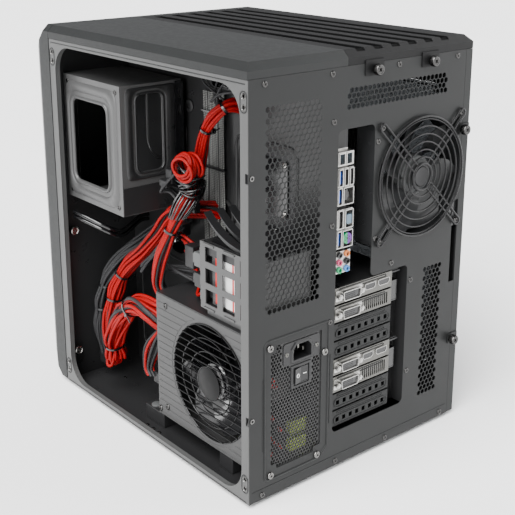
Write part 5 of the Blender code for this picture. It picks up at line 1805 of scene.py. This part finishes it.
def build_loose_wires():
    """Short runs between the looms: drive leads, fan leads and the connectors on them."""
    rng = random.Random(21)
    wires = Form()
    for points, mark, thick in loose_runs():
        wires.paint(mark)
        moved = [(x, y + rng.uniform(-0.002, 0.002), z + rng.uniform(-0.002, 0.002)) for x, y, z in points]
        wires.tube(smooth_route(moved, 6), thick, 7)
    make("loose_wires", wires, LOOSE_SLEEVES, smooth=60)
    outlet_wires()
    plugs = Form("z")
    for low, high in LOOM_PLUGS:
        plugs.slab(low, high)
    make("loom_plugs", plugs, PLASTIC, bevel=0.001)


# ---------------------------------------------------------------- board, cooler and cards
MEMORY_Y = [0.033 - 0.0098 * n for n in range(4)]


def finned(form, low, high, axis, pitch, thick, base):
    """A heat sink between two corners, whose fins stand towards -X and repeat along an axis."""
    form.slab((high[0] - base, low[1], low[2]), high)
    count = int((high[axis] - low[axis]) / pitch)
    for n in range(count + 1):
        a, b = list(low), list(high)
        a[axis] = low[axis] + pitch * n
        b[axis] = min(a[axis] + thick, high[axis])
        b[0] = high[0] - base
        form.slab(a, b)


def board_sinks(face):
    sinks = Form("x")
    finned(sinks, (face - 0.022, 0.152, 0.256), (face, 0.168, 0.356), 2, 0.0045, 0.0018, 0.006)
    finned(sinks, (face - 0.022, 0.072, 0.364), (face, 0.148, 0.377), 1, 0.0045, 0.0018, 0.006)
    finned(sinks, (face - 0.009, -0.02, 0.13), (face, 0.024, 0.156), 1, 0.006, 0.0038, 0.004)
    make("board_heatsinks", sinks, WIRE, bevel=0.0003)


def board_parts(face, rng):
    """Slots and connectors, capacitors, small chips, and the clock's battery."""
    parts = Form("x")
    for number in range(1, 8):
        z = slot_z(number)
        parts.slab((face - 0.011, 0.052, z - 0.0038), (face, 0.141, z + 0.0038))
        parts.slab((face - 0.013, 0.042, z - 0.003), (face, 0.05, z + 0.003))
    for y in MEMORY_Y:
        parts.slab((face - 0.0075, y - 0.0034, 0.236), (face, y + 0.0034, 0.37))
        for z in (0.234, 0.372):
            parts.slab((face - 0.015, y - 0.003, z - 0.0035), (face, y + 0.003, z + 0.0035))
    parts.slab((face - 0.01, -0.04, 0.285), (face, -0.03, 0.336))
    for n in range(4):
        z = 0.12 + 0.015 * n
        parts.slab((face - 0.013, -0.044, z - 0.006), (face, -0.026, z + 0.006))
    parts.paint(1)
    for n in range(26):
        y, z = rng.uniform(-0.035, 0.145), rng.uniform(0.222, 0.236)
        parts.turned(y, z, [(0.003, face), (0.003, face - 0.008), (0.0024, face - 0.0084)], 14)
    for n in range(10):
        parts.turned(0.148, 0.262 + 0.01 * n, [(0.0033, face), (0.0033, face - 0.008),
                                                   (0.0026, face - 0.0084)], 14)
    parts.paint(2)
    for n in range(70):
        y, z = rng.uniform(-0.04, 0.19), rng.uniform(0.08, 0.225)
        wide, tall = rng.choice([(0.002, 0.0012), (0.0012, 0.002), (0.006, 0.005), (0.004, 0.004)])
        parts.slab((face - 0.0012, y, z), (face, y + wide, z + tall))
    parts.paint(3)
    parts.turned(0.03, 0.178, [(0.01, face), (0.01, face - 0.0032), (0.0092, face - 0.0036)], 28)
    make("board_parts", parts, [PLASTIC, DARK_NICKEL, GLOSS, NICKEL], smooth=35)


def memory_modules(face):
    """Four modules, each a notched spreader over two rows of chips."""
    memory = Form("y")
    for y in MEMORY_Y:
        spreader = ((0.034, 0.239), (0.006, 0.239), (0.006, 0.367), (0.034, 0.367), (0.037, 0.356),
                    (0.037, 0.33), (0.0345, 0.323), (0.0345, 0.283), (0.037, 0.276), (0.037, 0.25))
        memory.prism([(face - deep, z) for deep, z in spreader], y - 0.0026, y + 0.0026)
        for k in range(9):
            z = 0.248 + 0.013 * k
            memory.prism(rectangle(face - 0.03, z, face - 0.012, z + 0.007), y - 0.0031, y + 0.0031)
    make("memory_modules", memory, CAGE_GREY, bevel=0.0004)


def board_back(face, rng):
    """The side that faces the tray: the cooler's plate, solder points, screws and standoffs."""
    corners = [(y, z) for z in (0.274, 0.329) for y in (0.07, 0.125)]
    back = Form("x")
    back.prism(rounded_rectangle(0.066, 0.27, 0.129, 0.333, 0.006), face, face + 0.0022)
    back.paint(1)
    for _ in range(150):
        y, z = rng.uniform(-0.035, 0.19), rng.uniform(0.18, 0.37)
        back.turned(y, z, [(0.0008, face - 0.0001), (0.0007, face + 0.0006), (0.0002, face + 0.0011)], 8)
    for y, z in corners:
        screw_head(back, y, z, face + 0.0022, 0.0035, 0.0014)
    back.paint(2)
    for y in (-0.039, 0.115, 0.193):
        for z in (0.08, 0.225, 0.374):
            back.turned(y, z, [(0.003, face), (0.003, TRAY_X - STEEL - 0.0001)], 6)
    make("board_back", back, [GLOSS, NICKEL, COPPER], smooth=40)


def build_board():
    dress("motherboard", BOARD, 0.0002)
    for name in ("rear_fan_frame", "front_fan_1_frame", "front_fan_2_frame", "cooler_fan_frame"):
        dress(name, FAN_PLASTIC, 0.0004)
    rng = random.Random(31)
    low, high = BOX["motherboard"]
    board_sinks(low.x)
    board_parts(low.x, rng)
    memory_modules(low.x)
    board_back(high.x, rng)


def cooler_fins(low, high):
    """A stack of thin plates with clipped corners, notched in turn a little more and a little less."""
    first, last, count = low.x + 0.001, 0.006, 44
    mid = (low + high) / 2
    half = (high - low) / 2
    fins = Form("x")
    for n in range(count):
        x = first + (last - first) * n / (count - 1)
        notch = 0.003 if n % 2 else 0.002
        edge = [(-half.y, 0.004 - half.z), (0.004 - half.y, -half.z), (-0.006, -half.z),
                (0.0, notch - half.z), (0.006, -half.z), (half.y - 0.004, -half.z),
                (half.y, 0.004 - half.z)]
        outline = edge + [(y, -z) for y, z in reversed(edge)]
        fins.prism([(mid.y + y, mid.z + z) for y, z in outline], x, x + 0.0004)
    make("cooler_fin_stack", fins, FIN, stands_for=["cooler_heatsink"])


def build_cooler():
    low, high = BOX["cooler_heatsink"]
    mid_y, mid_z = (low.y + high.y) / 2, (low.z + high.z) / 2
    cooler_fins(low, high)
    pipes = Form()
    for n in range(4):
        y = mid_y + (n - 1.5) * 0.0105
        for side in (-1, 1):
            z = mid_z + side * (0.029 + 0.005 * (n % 2))
            pipes.tube([(low.x + 0.0004, y, z), (0.008, y, z), (0.017, y, mid_z + side * 0.028),
                        (0.026, y, mid_z + side * 0.023), (0.031, y, mid_z + side * 0.015),
                        (0.0325, y, mid_z)], 0.003, 12)
    make("cooler_pipes", pipes, COPPER, smooth=60)
    base = Form("x")
    base.prism(centred(mid_y, mid_z, 0.04, 0.038, 0.002, 5), 0.029, high.x)
    for side in (-1, 1):
        y, z = mid_y - 0.033 * side, mid_z - 0.027 * side
        base.slab((0.034, y - 0.004, mid_z - 0.03), (0.0365, y + 0.004, mid_z + 0.03))
        base.slab((0.034, mid_y - 0.033, z - 0.003), (0.0362, mid_y + 0.033, z + 0.003))
    make("cooler_base", base, NICKEL, bevel=0.0005)
    clips = Form()
    fan_low, fan_high = BOX["cooler_fan_frame"]
    for z in (fan_low.z + 0.007, fan_high.z - 0.007):
        for x in (fan_low.x + 0.008, fan_high.x - 0.008):
            clips.tube([(x, fan_low.y + 0.001, z), (x, fan_low.y - 0.0003, z), (x, fan_high.y, z + 0.002),
                        (x, mid_y, high.z - 0.0006 if z > mid_z else low.z + 0.0006)], 0.0008, 8)
    make("cooler_clips", clips, NICKEL, smooth=50)


class Card:
    """The edges of a graphics card and the middles of its two fans."""

    RIGHT = 0.03
    TAIL = BRACKET_Y - 0.0012

    def __init__(self, node):
        low, high = BOX[node]
        self.node = node
        self.left, self.right = low.x + 0.0022, self.RIGHT
        self.tip, self.tail = low.y + 0.0004, self.TAIL
        self.under, self.top = low.z + 0.0004, high.z - 0.002
        self.fans = [(self.left + 0.047, y) for y in (0.012, 0.108)]

    def kept_in(self, loop, left, right):
        """A loop with its points held this far inside the card's long edges."""
        return [(min(max(u, self.left + left), self.right - right), v) for u, v in loop]

    def build_board(self):
        left, right, tip, tail, top = self.left, self.right, self.tip, self.tail, self.top
        board = Form("z")
        board.prism([(left, tip + 0.004), (left + 0.004, tip), (right, tip), (right, 0.042), (0.038, 0.044),
                     (0.038, 0.14), (right, 0.142), (right, tail), (left, tail)], top - 0.0016, top)
        board.paint(1)
        for k in range(40):
            y = 0.05 + 0.0021 * k
            board.slab((0.031, y, top - 0.0018), (0.0379, y + 0.0014, top + 0.0002))
        make(f"{self.node}_board", board, [BOARD, GOLD], stands_for=[self.node])

    def build_shroud(self):
        """The cover round the fans: a face with their two holes, and its walls."""
        left, right, tip, tail, under = self.left, self.right, self.tip, self.tail, self.under
        outline = [(left + 0.0015, tip + 0.012), (left + 0.012, tip + 0.0015),
                   (right - 0.01, tip + 0.0015), (right - 0.0015, tip + 0.01),
                   (right - 0.0015, tail - 0.002), (left + 0.0015, tail - 0.002), (left + 0.0015, 0.09),
                   (left + 0.005, 0.082), (left + 0.005, 0.04), (left + 0.0015, 0.032)]
        shroud = Form("z")
        shroud.prism(outline, under, under + 0.0016,
                     [self.kept_in(circle(x, y, 0.04, 48), 0.0065, 0.005) for x, y in self.fans])
        shroud.band(outline, offset(outline, -0.0014), under + 0.0016, self.top - 0.012)
        for x, y in self.fans:
            shroud.loop_wire(self.kept_in(circle(x, y, 0.0403, 48), 0.006, 0.0045), under + 0.001, 0.0007)
        make(f"{self.node}_shroud", shroud, GLOSS, bevel=0.0004)

    def build_fans(self):
        """Two hubs, each with eleven thin blades."""
        under = self.under
        form = Form("z")
        for x, y in self.fans:
            form.turned(x, y, [(0.013, under + 0.005), (0.014, under + 0.003), (0.0128, under + 0.0012),
                               (0.002, under + 0.0008)], 28)
            for blade in range(11):
                rows = []
                for k in range(5):
                    lead = math.tau * blade / 11 + 0.012 * k
                    radius = 0.013 + 0.0235 * k / 4
                    rows.append([(radius, lead, 0.002), (radius, lead + 0.21, 0.005),
                                 (radius, lead + 0.42, 0.0072)])
                for lift in (0.0, 0.0006):
                    grid = []
                    for row in rows:
                        points = self.kept_in([(x + r * math.cos(t), y + r * math.sin(t)) for r, t, _ in row],
                                              0.007, 0.0055)
                        grid.append([form.vert((u, v, under + w + lift))
                                     for (u, v), (_, _, w) in zip(points, row)])
                    form.walls(grid, closed=False)
        make(f"{self.node}_fans", form, FAN_PLASTIC, smooth=40)

    def build_fins(self):
        left, right, tip, tail, top = self.left + 0.004, self.right - 0.006, self.tip, self.tail, self.top
        count = 72
        fins = Form("z")
        for k in range(count):
            y = tip + 0.006 + (tail - tip - 0.014) * k / (count - 1)
            fins.slab((left, y, self.under + 0.01), (right, y + 0.0005, top - 0.0022))
        fins.slab((left, tip + 0.006, top - 0.004), (right, tail - 0.006, top - 0.0018))
        make(f"{self.node}_fins", fins, FIN)

    def build_backplate(self):
        left, right, tip, tail, top = self.left, self.right - 0.001, self.tip, self.tail - 0.001, self.top
        slits = [stadium((left + 0.02, y), (left + 0.06, y), 0.0015)
                 for y in (tip + 0.03 + 0.008 * k for k in range(6))]
        plate = Form("z")
        plate.prism([(left + 0.001, tip + 0.009), (left + 0.009, tip + 0.001), (right, tip + 0.001),
                     (right, tail), (left + 0.001, tail)], top + 0.0006, top + 0.0016, slits)
        make(f"{self.node}_backplate", plate, STEEL_BLACK, bevel=0.0003)

    def build_sockets(self):
        plugs = Form("z")
        for y in (self.tip + 0.028, self.tip + 0.052):
            plugs.slab((self.left - 0.0018, y - 0.01, self.top - 0.013),
                       (self.left + 0.004, y + 0.01, self.top - 0.0022))
        make(f"{self.node}_power_sockets", plugs, PLASTIC, bevel=0.0004)


def build_cards():
    for index in range(1, len(CARD_SLOTS) + 1):
        card = Card(f"graphics_card_{index}")
        card.build_board()
        card.build_shroud()
        card.build_fans()
        card.build_fins()
        card.build_backplate()
        card.build_sockets()


# ---------------------------------------------------------------- floor, light and camera
def build_stage():
    size = 30.0
    floor = Form("z")
    floor.fill(floor.ring(rectangle(-size, -size, size, size), 0.0))
    mesh = bpy.data.meshes.new("floor")
    mesh.from_pydata(floor.verts, [], floor.faces)
    paper = Shader("studio_floor", (0.93, 0.93, 0.93), 0.85)
    paper.tint(paper.noise(3.0, 2.0), 0.004)
    mesh.materials.append(paper.material)
    piece = bpy.data.objects.new("studio_floor", mesh)
    bpy.context.scene.collection.objects.link(piece)

    world = bpy.data.worlds.new("studio")
    world.use_nodes = True
    world.node_tree.nodes["Background"].inputs["Color"].default_value = (0.97, 0.98, 1.0, 1.0)
    world.node_tree.nodes["Background"].inputs["Strength"].default_value = 0.55
    bpy.context.scene.world = world


def sunlight(name, direction, energy, angle):
    data = bpy.data.lights.new(name, "SUN")
    data.energy = energy
    data.angle = math.radians(angle)
    lamp = bpy.data.objects.new(name, data)
    bpy.context.scene.collection.objects.link(lamp)
    lamp.rotation_mode = "QUATERNION"
    lamp.rotation_quaternion = Vector(direction).to_track_quat("-Z", "Y")


def build_lights():
    sunlight("overhead_light", (-0.8, -0.22, -1.25), 9.0, 50.0)
    sunlight("side_light", (-1.9, -0.7, -0.5), 3.0, 36.0)
    sunlight("fill_light", (1.7, -0.75, -0.55), 3.0, 60.0)


def build_camera():
    yaw, pitch = -2.26374258, 0.28165
    data = bpy.data.cameras.new("photo_camera")
    data.lens = 70.94
    data.sensor_width = 36.0
    data.shift_y = -0.131
    camera = bpy.data.objects.new("photo_camera", data)
    bpy.context.scene.collection.objects.link(camera)
    camera.location = (0.729, 0.9038, 0.6018)
    look = Vector((math.cos(yaw) * math.cos(pitch), math.sin(yaw) * math.cos(pitch), -math.sin(pitch)))
    camera.rotation_mode = "QUATERNION"
    camera.rotation_quaternion = look.to_track_quat("-Z", "Y")
    bpy.context.scene.camera = camera


# ---------------------------------------------------------------- assembly
build_rear_panel()
build_fan_guard()
build_fans()
build_thumbscrews()
build_io_ports()
build_slots()
build_side_frame()
build_top()
build_front()
build_side_panel()
build_feet()
build_inner_shell()
build_psu()
build_drive_cage()
build_ssd_cage()
build_looms()
build_loom_ends()
build_front_leads()
build_ribbons()
build_loose_wires()
build_board()
build_cooler()
build_cards()
build_stage()
build_lights()
build_camera()
